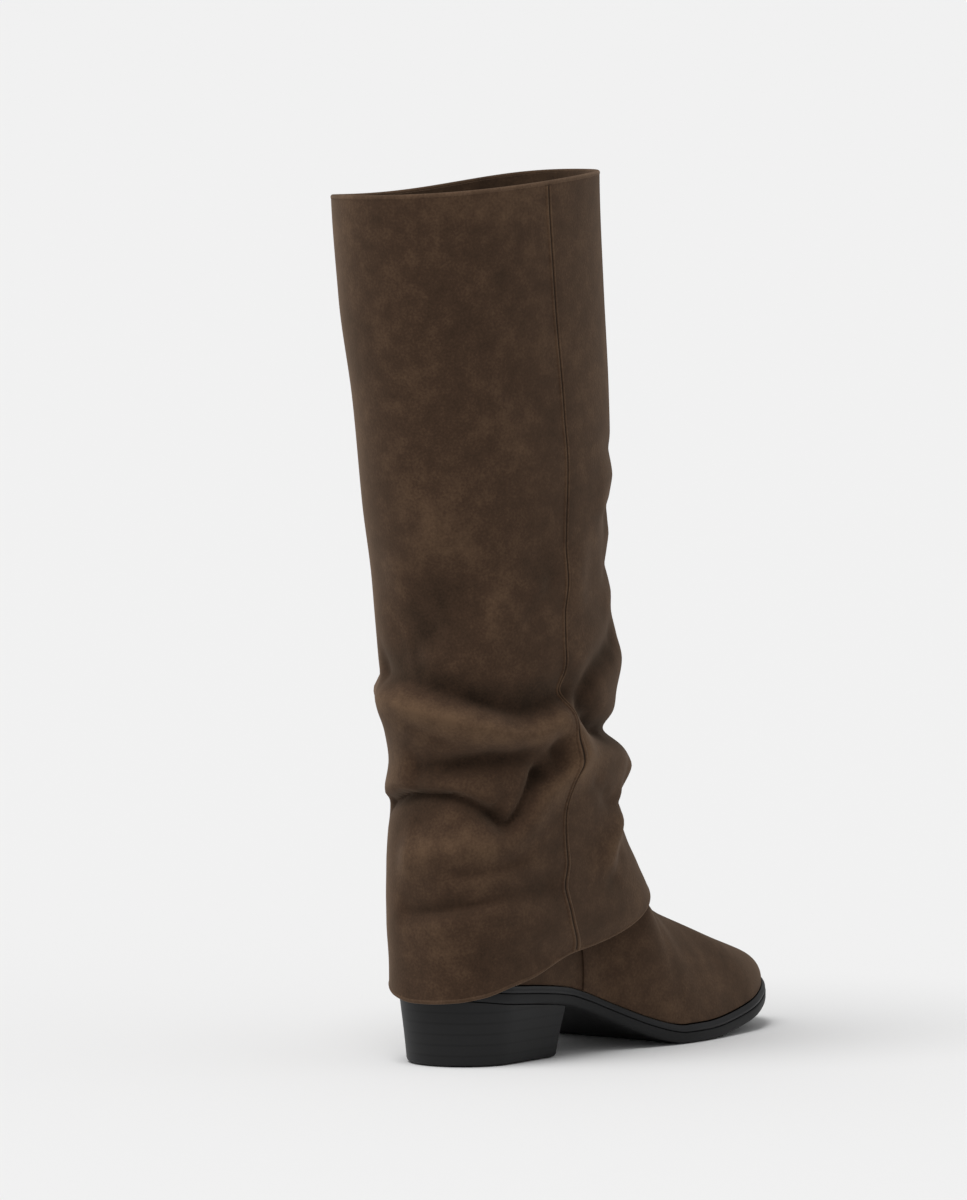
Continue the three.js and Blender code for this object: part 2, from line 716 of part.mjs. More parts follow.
function makeUpper() {
  const triangles = [];
  for (const side of ['outer', 'inner']) {
    const outerGrid = [];
    const innerGrid = [];
    for (let rib = 0; rib <= ribs; rib += 1) {
      const outer = [];
      const inner = [];
      for (let k = 0; k <= ribLevels; k += 1) {
        const level = k / ribLevels;
        const normal = upperNormal(side, rib, level).toArray();
        const point = upperPoint(side, rib, level);
        const overlay = overlayAt(rib, level, point[0]);
        outer.push(point.map((v, j) => v + overlay * normal[j]));
        inner.push(point.map((v, j) => v - upperWall * normal[j]));
      }
      outerGrid.push(outer);
      innerGrid.push(inner);
    }
    const face = (a, b, c, d) => {
      if (side === 'outer') addQuad(triangles, a, b, c, d);
      else addQuad(triangles, a, d, c, b);
    };
    for (let rib = 0; rib < ribs; rib += 1) {
      const [a, b] = [outerGrid[rib], outerGrid[rib + 1]];
      const [c, d] = [innerGrid[rib], innerGrid[rib + 1]];
      for (let k = 0; k < ribLevels; k += 1) {
        face(a[k], b[k], b[k + 1], a[k + 1]);
        face(c[k], c[k + 1], d[k + 1], d[k]);
      }
      face(a[0], c[0], d[0], b[0]);
      if (rib < legRibs) face(a[ribLevels], b[ribLevels], d[ribLevels], c[ribLevels]);
    }
  }
  return solid('upper', triangles, colours.foot);
}

const boot = new THREE.Group();
boot.add(makeHeel(), makeOutsole(), makeWelt(), makeInsole(), makeUpper(), makeShaft());

export default boot;
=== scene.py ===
# %% [markdown]
# # A slouch boot in suede
# The boot for the right foot stands empty on its heel and the ball of its sole. X runs toward the toe,
# Y toward the inner side of the foot and Z up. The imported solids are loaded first, and each of them but
# the insole is then replaced by a finer piece with the same sizes. Two details differ from the solids:
# the topline rises a few millimetres at the front of its inner side, and the vamp's seam lies 12 mm
# further forward.

# %% Load the frame
import math

import bpy
import numpy as np
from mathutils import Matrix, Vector


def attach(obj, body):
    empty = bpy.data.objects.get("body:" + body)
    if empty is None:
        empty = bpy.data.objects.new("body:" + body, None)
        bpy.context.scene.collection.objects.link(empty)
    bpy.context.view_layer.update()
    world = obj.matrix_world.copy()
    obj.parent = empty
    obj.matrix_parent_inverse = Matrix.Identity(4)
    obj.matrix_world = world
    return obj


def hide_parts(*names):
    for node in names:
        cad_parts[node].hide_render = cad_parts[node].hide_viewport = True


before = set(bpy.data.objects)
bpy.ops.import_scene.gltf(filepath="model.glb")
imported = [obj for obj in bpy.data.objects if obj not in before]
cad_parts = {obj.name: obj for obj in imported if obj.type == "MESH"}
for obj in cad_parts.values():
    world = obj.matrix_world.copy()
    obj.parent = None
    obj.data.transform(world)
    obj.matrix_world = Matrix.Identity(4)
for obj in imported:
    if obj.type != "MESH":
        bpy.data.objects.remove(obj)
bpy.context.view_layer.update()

MM = 0.001

# %% [markdown]
# ## Camera, light and floor
# The photograph was taken from far away with a long lens, a little above the boot and from behind its
# outer side. A long lens keeps the sides of the shaft parallel, so the camera stands nine metres off.
# The floor is one large pale plane, and the light comes from the whole sky with one wide soft lamp above,
# which puts a little light on the top of each fold and leaves the underside dark.

# %% Camera
CAMERA_TURN = math.radians(-54)
CAMERA_RISE = math.radians(5.2)
CAMERA_FAR = 9.0
LENS = 551
LOOK_AT = Vector((0.060, 0, 0.210))
AIM_RIGHT = -0.0289
AIM_UP = 0.011

level = math.cos(CAMERA_RISE)
back = Vector((math.sin(CAMERA_TURN) * level, -math.cos(CAMERA_TURN) * level, math.sin(CAMERA_RISE)))
right = Vector((0, 0, 1)).cross(back).normalized()
up = back.cross(right)
aim = LOOK_AT + AIM_RIGHT * right + AIM_UP * up
bpy.ops.object.select_all(action="DESELECT")
facing_back = back.to_track_quat("Z", "Y").to_euler()
bpy.ops.object.camera_add(location=aim + CAMERA_FAR * back, rotation=facing_back)
camera = bpy.context.object
camera.data.lens = LENS
camera.data.clip_end = 200
bpy.context.scene.camera = camera
print("camera at", [round(v, 2) for v in camera.location])

# %% Floor and light
def linear(hex_colour):
    """An sRGB colour such as 4B3A2D as the linear values that the shaders take."""
    parts = [int(hex_colour[i:i + 2], 16) / 255 for i in (0, 2, 4)]
    return (*(p / 12.92 if p < 0.04045 else ((p + 0.055) / 1.055) ** 2.4 for p in parts), 1)


def node(tree, kind, inputs=(), **settings):
    """Adds a node with its settings. Inputs map a socket to a value or to the output that feeds it."""
    made = tree.nodes.new(kind)
    for key, value in settings.items():
        setattr(made, key, value)
    for socket, value in dict(inputs).items():
        if isinstance(value, bpy.types.NodeSocket):
            tree.links.new(value, made.inputs[socket])
        else:
            made.inputs[socket].default_value = value
    return made


def new_material(name):
    """An empty material and its tree, with the output node already linked to one shader."""
    made = bpy.data.materials.new(name)
    made.use_nodes = True
    tree = made.node_tree
    tree.nodes.clear()
    shader = node(tree, "ShaderNodeBsdfPrincipled")
    node(tree, "ShaderNodeOutputMaterial", {"Surface": shader.outputs[0]})
    return made, tree, shader


FLOOR_SIZE = 80
FLOOR_DROP = 0.0002
bpy.ops.object.select_all(action="DESELECT")
bpy.ops.mesh.primitive_plane_add(size=FLOOR_SIZE, location=(0, 0, -FLOOR_DROP))
floor = bpy.context.object
floor.name = "floor"
paper, tree, shader = new_material("matte_paper_floor")
shader.inputs["Base Color"].default_value = linear("EAEAEA")
shader.inputs["Roughness"].default_value = 1.0
floor.data.materials.append(paper)

SKY_STRENGTH = 0.45
KEY_STRENGTH = 2.2
KEY_ANGLE = math.radians(34)
KEY_BACK = 0.8
KEY_UP = 1.75
KEY_LEFT = 0.5
sky = bpy.data.worlds.new("studio")
sky.use_nodes = True
sky.node_tree.nodes["Background"].inputs["Color"].default_value = linear("FFFFFF")
sky.node_tree.nodes["Background"].inputs["Strength"].default_value = SKY_STRENGTH
bpy.context.scene.world = sky
bpy.ops.object.light_add(type="SUN", location=(0, 0, 3))
key = bpy.context.object
key.data.energy = KEY_STRENGTH
key.data.angle = KEY_ANGLE
key.rotation_euler = (KEY_BACK * back + KEY_UP * up - KEY_LEFT * right).to_track_quat("Z", "Y").to_euler()
bpy.context.scene.view_settings.view_transform = "Standard"

# %% [markdown]
# ## Sizes
# Leather is cut from flat patterns and laid on a last, and the code works the same way. A piece starts as
# a flat grid, is given its layers by extrusion, and each point of it is then moved to its place on the
# boot by a function of named sizes. All the functions work in millimetres.

# %% Reading a table, and a soft step
def read(rows, column, at):
    """Reads a column at a place between the rows of a table, by cubic pieces that never overshoot them."""
    x = np.array([row[0] for row in rows], float)
    y = np.array([row[column] for row in rows], float)
    slope = np.diff(y) / np.diff(x)
    tangent = np.zeros(len(x))
    same = slope[:-1] * slope[1:] > 0
    tangent[1:-1][same] = (2 * slope[:-1] * slope[1:])[same] / (slope[:-1] + slope[1:])[same]
    at = np.clip(at, x[0], x[-1])
    i = np.clip(np.searchsorted(x, at, side="right") - 1, 0, len(x) - 2)
    step = x[i + 1] - x[i]
    t = (at - x[i]) / step
    start = y[i] * (1 + 2 * t) * (1 - t) ** 2 + tangent[i] * step * t * (1 - t) ** 2
    return start + y[i + 1] * t * t * (3 - 2 * t) + tangent[i + 1] * step * t * t * (t - 1)


def ramp(low, high, value):
    """Rises softly from 0 to 1 as a value passes from low to high."""
    t = np.clip((value - low) / (high - low), 0, 1)
    return t * t * (3 - 2 * t)


def bump(value, middle, width):
    """1 at the middle, fading to 0 on both sides."""
    return np.exp(-(((value - middle) / width) ** 2))


# %% The sole's sizes in millimetres
SOLE_LENGTH = 267
SOLE_BACK = -38
SOLE_FRONT = SOLE_BACK + SOLE_LENGTH
BALL_WIDTH = 93
HEEL_RISE = 33
TOE_SPRING = 17
WAIST_RISE = 6
# Shares of the sole's length between which the inner waist lifts, and between which it comes down
WAIST_UP = 0.29, 0.44
WAIST_DOWN = 0.46, 0.6
OUTSOLE_THICKNESS = 5.2
WELT_THICKNESS = 3.4
WELT_MARGIN = 3
SEAT_MARGIN = 1
FIT = 0.3
TOE_ROUND = 0.184 * SOLE_LENGTH
TOE_SQUARENESS = 2.2
SPRING_START = 0.655
SPRING_CURVE = 1.6

# Share of the sole's length, then the outer and inner half widths as shares of the ball width
OUTLINE = [
    (0.000, 0.344, 0.340), (0.127, 0.344, 0.340), (0.217, 0.338, 0.323), (0.300, 0.333, 0.306),
    (0.375, 0.362, 0.292), (0.442, 0.414, 0.302), (0.517, 0.466, 0.355), (0.573, 0.490, 0.419),
    (0.622, 0.499, 0.445), (0.685, 0.492, 0.475), (0.742, 0.473, 0.478), (0.817, 0.441, 0.455),
    (0.891, 0.394, 0.422), (0.936, 0.366, 0.400), (1.000, 0.323, 0.355),
]
# Share of the sole's length, then the height of its underside as a share of the heel rise
ARCH = [
    (0.000, 1.000), (0.109, 0.910), (0.202, 0.845), (0.292, 0.755), (0.343, 0.640), (0.393, 0.485),
    (0.446, 0.312), (0.498, 0.160), (0.554, 0.040), (0.588, 0.000), (1.000, 0.000),
]
OUTER, INNER = 1, 2
SEAT_RADIUS = 0.5 * BALL_WIDTH * (OUTLINE[0][OUTER] + OUTLINE[0][INNER])


# %% The sole's surfaces
def along(x):
    """Share of the sole's length at a place x."""
    return (x - SOLE_BACK) / SOLE_LENGTH


def underside(x, y):
    """Height of the underside, with the arch, the toe spring and the lift of the inner waist."""
    share = along(x)
    spring = np.maximum((share - SPRING_START) / (1 - SPRING_START), 0) ** SPRING_CURVE
    lift = WAIST_RISE * ramp(*WAIST_UP, share) * (1 - ramp(*WAIST_DOWN, share))
    outer, inner = BALL_WIDTH * read(OUTLINE, OUTER, share), BALL_WIDTH * read(OUTLINE, INNER, share)
    return HEEL_RISE * read(ARCH, 1, share) + TOE_SPRING * spring + lift * (y + outer) / (outer + inner)


def feather(x, y):
    """Height of the line where the upper meets the welt."""
    return underside(x, y) + OUTSOLE_THICKNESS + FIT + WELT_THICKNESS


def half_width(x, side, margin):
    """Half width of the sole's outline on one side, drawn in by a margin."""
    full = BALL_WIDTH * read(OUTLINE, side, along(x)) - margin
    seat_end, toe_start = SOLE_BACK + SEAT_RADIUS, SOLE_FRONT - TOE_ROUND
    t = np.clip((seat_end - x) / (seat_end - SOLE_BACK - margin), 0, 1)
    s = np.clip((x - toe_start) / (SOLE_FRONT - margin - toe_start), 0, 1)
    return full * np.sqrt(1 - t * t) * (1 - s ** TOE_SQUARENESS) ** (1 / TOE_SQUARENESS)


def sole_places(u, margin):
    """Places along the sole for u from -1 at the back to 1 at the toe, closer together at its ends."""
    share = 0.5 * (u + 1)
    start, end = SOLE_BACK + SEAT_RADIUS, SOLE_FRONT - TOE_ROUND
    middle = start + (end - start) * (share - 0.25) / 0.5
    seat = start - (SEAT_RADIUS - margin) * np.cos(math.pi / 2 * np.clip(share / 0.25, 0, 1))
    toe = end + (TOE_ROUND - margin) * np.sin(math.pi / 2 * np.clip((share - 0.75) / 0.25, 0, 1))
    return np.where(share < 0.25, seat, np.where(share > 0.75, toe, middle))


# %% Laying a flat pattern on the boot
def pattern(name, long, wide, layers=0):
    """A flat grid from -1 to 1 on both axes, extruded up by one unit for each layer."""
    bpy.ops.object.select_all(action="DESELECT")
    bpy.ops.mesh.primitive_grid_add(x_subdivisions=long, y_subdivisions=wide, size=2)
    piece = bpy.context.object
    piece.name = name
    bpy.ops.object.mode_set(mode="EDIT")
    for _ in range(layers):
        bpy.ops.mesh.extrude_region_move(TRANSFORM_OT_translate={"value": (0, 0, 1)})
    bpy.ops.object.mode_set(mode="OBJECT")
    return piece


def lay(piece, place):
    """Moves each point (u, v, layer) of a pattern to its place, which is given in millimetres."""
    flat = np.empty(3 * len(piece.data.vertices))
    piece.data.vertices.foreach_get("co", flat)
    placed = place(*flat.reshape(-1, 3).T)
    piece.data.vertices.foreach_set("co", (MM * np.stack(placed, axis=1)).ravel())
    piece.data.update()


def close(piece, merge=0.01):
    """Merges the points that meet and turns every face outward."""
    bpy.ops.object.select_all(action="DESELECT")
    piece.select_set(True)
    bpy.context.view_layer.objects.active = piece
    bpy.ops.object.mode_set(mode="EDIT")
    bpy.ops.mesh.select_all(action="SELECT")
    bpy.ops.mesh.remove_doubles(threshold=merge * MM)
    bpy.ops.mesh.normals_make_consistent(inside=False)
    bpy.ops.object.mode_set(mode="OBJECT")


def wall(piece, thickness, inner_material=0, outward=False):
    """Gives a closed sheet a wall on its inner side."""
    bpy.context.view_layer.objects.active = piece
    made = piece.modifiers.new("wall", "SOLIDIFY")
    made.thickness = thickness * MM
    made.offset = 1 if outward else -1
    made.material_offset = inner_material
    bpy.ops.object.modifier_apply(modifier=made.name)


def ready(piece, material, replaces=None, sharp=40):
    """Shades a finished piece, gives it its material and fixes it to the boot."""
    bpy.ops.object.select_all(action="DESELECT")
    piece.select_set(True)
    bpy.context.view_layer.objects.active = piece
    bpy.ops.object.shade_smooth_by_angle(angle=math.radians(sharp))
    if material is not None:
        piece.data.materials.clear()
        piece.data.materials.append(material)
    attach(piece, "root")
    if replaces:
        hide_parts(replaces)
    print(piece.name, len(piece.data.polygons), "faces")


def sole_layer(name, rows, low, high, width, margin_at, long=110, wide=16):
    """A layer of the sole. Each row gives how far its edge is drawn in and its share of the thickness."""
    piece = pattern(name, long, wide, len(rows) - 1)
    insets = [row[0] for row in rows]
    shares = [row[1] for row in rows]

    def place(u, v, layer):
        k = np.round(layer).astype(int)
        inset, share = np.array(insets)[k], np.array(shares)[k]
        x = margin_at(u, inset)
        y = -width(x, OUTER, inset) + 0.5 * (v + 1) * (width(x, OUTER, inset) + width(x, INNER, inset))
        return x, y, low(x, y) + (high(x, y) - low(x, y)) * share

    lay(piece, place)
    close(piece)
    return piece


# %% [markdown]
# ## Finishes of the sole
# The sole, the welt and the heel of such a boot are black rubber and stacked board that is painted black
# and waxed. It is nearly black with a low soft gloss, so the roughness is about a half and the colour
# carries only a little cloud. The stacked layers of the heel show as faint level lines, each a few
# millimetres above the last.

# %% Waxed black edge
EDGE_CLOUD = 0.018
EDGE_GRAIN = 0.0012
LAYER_PITCH = 0.0027
LAYER_WANDER = 12.0


def black_edge(name, dark, light, rough, layer_lines=False):
    """Black painted edge with faint clouds and, on the heel, the lines between the stacked layers."""
    made, tree, shader = new_material(name)
    where = node(tree, "ShaderNodeTexCoord").outputs["Object"]
    cloud = node(tree, "ShaderNodeTexNoise", {"Vector": where, "Scale": 1 / EDGE_CLOUD, "Detail": 3.0})
    tone = node(tree, "ShaderNodeMix", {0: cloud.outputs["Fac"], 6: linear(dark), 7: linear(light)},
                data_type="RGBA")
    shader.inputs["Roughness"].default_value = rough
    shader.inputs["Specular IOR Level"].default_value = 0.3
    grain = node(tree, "ShaderNodeTexNoise", {"Vector": where, "Scale": 1 / EDGE_GRAIN, "Detail": 2.0})
    colour = tone.outputs[2]
    if layer_lines:
        flat = node(tree, "ShaderNodeMapping",
                    {"Vector": where, "Scale": (LAYER_WANDER, LAYER_WANDER, 1 / LAYER_PITCH)})
        line = node(tree, "ShaderNodeTexWave", {"Vector": flat.outputs[0], "Scale": 1 / math.tau,
                    "Distortion": 0.4, "Detail": 1.0, "Detail Scale": 1.0},
                    wave_type="BANDS", bands_direction="Z", wave_profile="SIN")
        thin = node(tree, "ShaderNodeMapRange", {0: line.outputs["Fac"], 1: 0.0, 2: 0.18, 3: 1.0, 4: 0.0})
        colour = node(tree, "ShaderNodeMix", {0: thin.outputs[0], 6: tone.outputs[2],
                      7: linear("080809")}, data_type="RGBA").outputs[2]
    tree.links.new(colour, shader.inputs["Base Color"])
    relief = node(tree, "ShaderNodeBump", {"Height": grain.outputs["Fac"], "Strength": 0.12,
                  "Distance": 0.0002})
    tree.links.new(relief.outputs[0], shader.inputs["Normal"])
    return made


rubber = black_edge("black_moulded_rubber", "0B0B0C", "131314", 0.6)
waxed_welt = black_edge("waxed_black_welt", "0E0E0F", "18181A", 0.5)
stacked_heel = black_edge("stacked_board_painted_black", "0D0D0E", "151516", 0.55, layer_lines=True)

# %% [markdown]
# ## Outsole
# The outsole is one moulded layer, about 5 mm thick, that also runs over the heel. Its outline is a flat
# grid with its points drawn in to the shape of the foot. Extruded rows make its side, rounded below, and
# the same height function bends it over the arch and up at the toe.

# %% Outsole
OUTSOLE_ROWS = [(1.3, 0.0), (0.55, 0.07), (0.15, 0.19), (0.0, 0.34), (0.0, 0.88), (0.12, 0.96), (0.45, 1.0)]


def outsole_top(x, y):
    return underside(x, y) + OUTSOLE_THICKNESS


outsole = sole_layer("outsole_layer", OUTSOLE_ROWS, underside, outsole_top, half_width, sole_places)
ready(outsole, rubber, "outsole", sharp=50)

# %% [markdown]
# ## Welt
# The welt is the bevelled edge between the outsole and the upper. On the real boot a thin bead runs along
# its top and a dark groove parts it from the suede, so the last rows turn over the bead and drop into a
# groove. Round the heel seat its margin is only a millimetre.

# %% Welt
WELT_ROWS = [(0.6, 0.0), (0.36, 0.1), (0.3, 0.34), (0.42, 0.46), (1.2, 0.74), (1.55, 0.9), (1.75, 0.98),
             (2.0, 1.0), (2.25, 0.97), (2.5, 0.84), (2.75, 0.7), (3.4, 0.66)]
# Shares of the sole's length between which the margin grows from the seat's to the forepart's
MARGIN_GROWS = 0.28, 0.42


def margin_of(x):
    """The welt's margin beside the upper, slim at the heel seat and full round the forepart."""
    return SEAT_MARGIN + (WELT_MARGIN - SEAT_MARGIN) * ramp(*MARGIN_GROWS, along(x))


def welt_width(x, side, inset):
    slim = inset * margin_of(x) / WELT_MARGIN
    return half_width(x, side, np.where(inset > 0.45 * WELT_MARGIN, slim, np.minimum(inset, slim + 0.3)))


def welt_low(x, y):
    return underside(x, y) + OUTSOLE_THICKNESS + FIT


welt = sole_layer("welt_edge", WELT_ROWS, welt_low, feather, welt_width, sole_places, long=130)
ready(welt, waxed_welt, "welt", sharp=60)

# %% [markdown]
# ## Heel block
# The heel is a stack of boards that is ground to shape, painted and waxed. It is wider at the top than
# at the floor, its lower edge is rounded, and its front, the breast, is cut straight.

# %% Heel block
HEEL_LENGTH = 76
HEEL_TAPER = 3.4
HEEL_INSET = 0.6
HEEL_FRONT = SOLE_BACK + HEEL_LENGTH
HEEL_ROWS = [(2.2, 0.0), (1.15, 0.012), (0.45, 0.035), (0.1, 0.07), (0.0, 0.11), (-0.6, 0.3), (-1.3, 0.5),
             (-2.1, 0.7), (-2.9, 0.9), (-3.3, 1.0)]


def heel_places(u, inset):
    """Places along the heel block, closer together round its back."""
    share = 0.5 * (u + 1)
    start = SOLE_BACK + SEAT_RADIUS
    margin = HEEL_INSET + HEEL_TAPER + inset
    round_back = start - (SEAT_RADIUS - margin) * np.cos(math.pi / 2 * np.clip(share / 0.5, 0, 1))
    breast = HEEL_FRONT - margin
    return np.where(share < 0.5, round_back, start + (breast - start) * (share - 0.5) / 0.5)


def heel_width(x, side, inset):
    return half_width(x, side, HEEL_INSET + HEEL_TAPER + inset)


def heel_floor(x, y):
    return 0 * x


def heel_top(x, y):
    return underside(x, y) - FIT


heel = sole_layer("heel_stack", HEEL_ROWS, heel_floor, heel_top, heel_width, heel_places, long=60)
ready(heel, stacked_heel, "heel_block", sharp=50)

# %% [markdown]
# ## The plain shaft
# The loose shaft is one tube of suede. Its sections are ovals from a short table. The big folds are those
# of the solid, and each is a soft ridge or trough along a line on the shaft, given by turns round it and
# heights. A turn is in degrees from the outer side toward the back.

# %% Shaft sizes and sections
SHAFT_HEIGHT = 433
SHAFT_HALF_DEPTH = 79
SHAFT_HALF_WIDTH = 57
SHAFT_WALL = 1.8
COLLAR_DIP = 12
COLLAR_SAG = 1.8
COLLAR_RISE = 5.8
COLLAR_RISE_TURN = -115
COLLAR_RISE_WIDTH = 45
FOLD_HEIGHT = 160
FOLD_DEPTH = 7
HEM_HEIGHT = 53
HEM_SQUARENESS = 0.2
SQUARE_BELOW = 0.18
OVAL_ABOVE = 0.34
HANG_FADE = 12
MM_PER_DEGREE = math.pi / 180 * 0.5 * (SHAFT_HALF_DEPTH + SHAFT_HALF_WIDTH)

# Height as a share of the shaft's, middle and half depth as shares of its half depth, then the outer and
# inner half widths as shares of its half width
SECTIONS = [
    (0.060, 0.435, 0.985, 0.680, 0.710), (0.116, 0.480, 1.040, 0.690, 0.710),
    (0.160, 0.495, 1.075, 0.784, 0.725), (0.208, 0.430, 1.004, 0.762, 0.732),
    (0.236, 0.385, 0.950, 0.755, 0.750), (0.281, 0.342, 0.880, 0.800, 0.790),
    (0.335, 0.385, 0.930, 0.835, 0.825), (0.372, 0.315, 0.885, 0.845, 0.825),
    (0.405, 0.295, 0.900, 0.860, 0.835), (0.445, 0.310, 0.950, 0.877, 0.860),
    (0.475, 0.275, 0.915, 0.877, 0.870), (0.516, 0.222, 0.876, 0.877, 0.877),
    (0.551, 0.208, 0.886, 0.886, 0.886), (0.635, 0.171, 0.944, 0.912, 0.912),
    (0.750, 0.110, 0.971, 0.939, 0.939), (0.867, 0.011, 1.000, 0.974, 0.974),
    (1.010, -0.054, 1.000, 1.000, 1.000),
]
# Turn, then the height of the hem as a share of the hem height
HEM = [
    (-180, 1.000), (-140, 1.250), (-115, 1.460), (-90, 1.570), (-72, 1.530), (-52, 1.390), (-16, 1.115),
    (2, 1.000), (20, 0.815), (32, 0.745), (47, 0.665), (67, 0.620), (90, 0.605), (110, 0.650),
    (140, 0.780), (180, 1.000),
]
MIDDLE, DEPTH = 1, 2


def shaft_section(turn, z):
    """Plain section of the shaft without its folds."""
    share = z / SHAFT_HEIGHT
    angle = -math.pi / 2 - np.radians(turn)
    across, side = np.cos(angle), np.sin(angle)
    width = np.where(side < 0, read(SECTIONS, 3, share), read(SECTIONS, 4, share)) * SHAFT_HALF_WIDTH
    power = 1 - HEM_SQUARENESS * (1 - ramp(SQUARE_BELOW, OVAL_ABOVE, share))
    x = SHAFT_HALF_DEPTH * (read(SECTIONS, MIDDLE, share)
                            + read(SECTIONS, DEPTH, share) * np.sign(across) * np.abs(across) ** power)
    return x, width * np.sign(side) * np.abs(side) ** power


# %% [markdown]
# ## Folds
# Slouching cloth folds where it has more height than it needs. Above a fold the cloth bulges and hangs
# over, and below it a trough is tucked in. Every row gives how far the cloth stands out in millimetres,
# how wide the fold is above and below its line, how keen its line is from 0 for round to 1 for sharp,
# and how far the cloth hangs down there. A simulation would place the folds where it likes, so the
# lines are set to where the real cloth has them.

# %% Folds and creases
FOLDS = [
    # The folds of the solid
    (4.9, 5, 15, 0.0, 2.5, [(150, 184), (117, 181), (86, 178), (51, 169), (33, 164), (18, 168), (4, 174)]),
    (-5.2, 12, 5, 0.0, 0, [(120, 192), (86, 189), (51, 181), (31, 176), (10, 181)]),
    (-7.0, 7, 7, 0.0, 0, [(-4, 173), (-18, 162), (-45, 158), (-90, 160), (-130, 165)]),
    (-3.9, 10, 8, 0.0, 0, [(2, 179), (-14, 192), (-34, 202)]),
    (-5.2, 8, 7, 0.0, 0, [(92, 146), (69, 149), (48, 154), (31, 155), (15, 154)]),
    (-4.2, 7, 7, 0.0, 0, [(12, 160), (14, 149), (24, 144)]),
    (2.5, 9, 4, 0.0, 1.5, [(150, 134), (132, 133), (104, 138), (69, 139), (50, 133)]),
    (-4.9, 4, 7, 0.5, 0, [(132, 128), (106, 133), (69, 134), (52, 128), (40, 120), (32, 128), (26, 144)]),
    (4.2, 8, 12, 0.0, 1.5, [(92, 106), (67, 110), (51, 112), (36, 117), (22, 134), (8, 147), (1, 155)]),
    (-2.1, 6, 6, 0.3, 0, [(94, 77), (69, 79), (41, 83), (16, 87)]),
    (3.2, 9, 9, 0.0, 0, [(-40, 122), (-26, 109), (-14, 96)]),
    (4.2, 6, 14, 0.0, 1.0, [(-60, 138), (-95, 144), (-130, 138)]),
    (-3.9, 8, 6, 0.0, 0, [(-70, 118), (-100, 112), (-140, 118), (-180, 128)]),
    (3.5, 7, 12, 0.0, 1.0, [(-110, 186), (-150, 176), (-180, 182), (-210, 184)]),
    (-2.5, 16, 16, 0.0, 0, [(62, 227), (82, 218), (96, 211)]),
    (1.8, 14, 14, 0.0, 0, [(70, 259), (92, 243)]),
    (-1.8, 20, 20, 0.0, 0, [(-40, 256), (-20, 240)]),
]
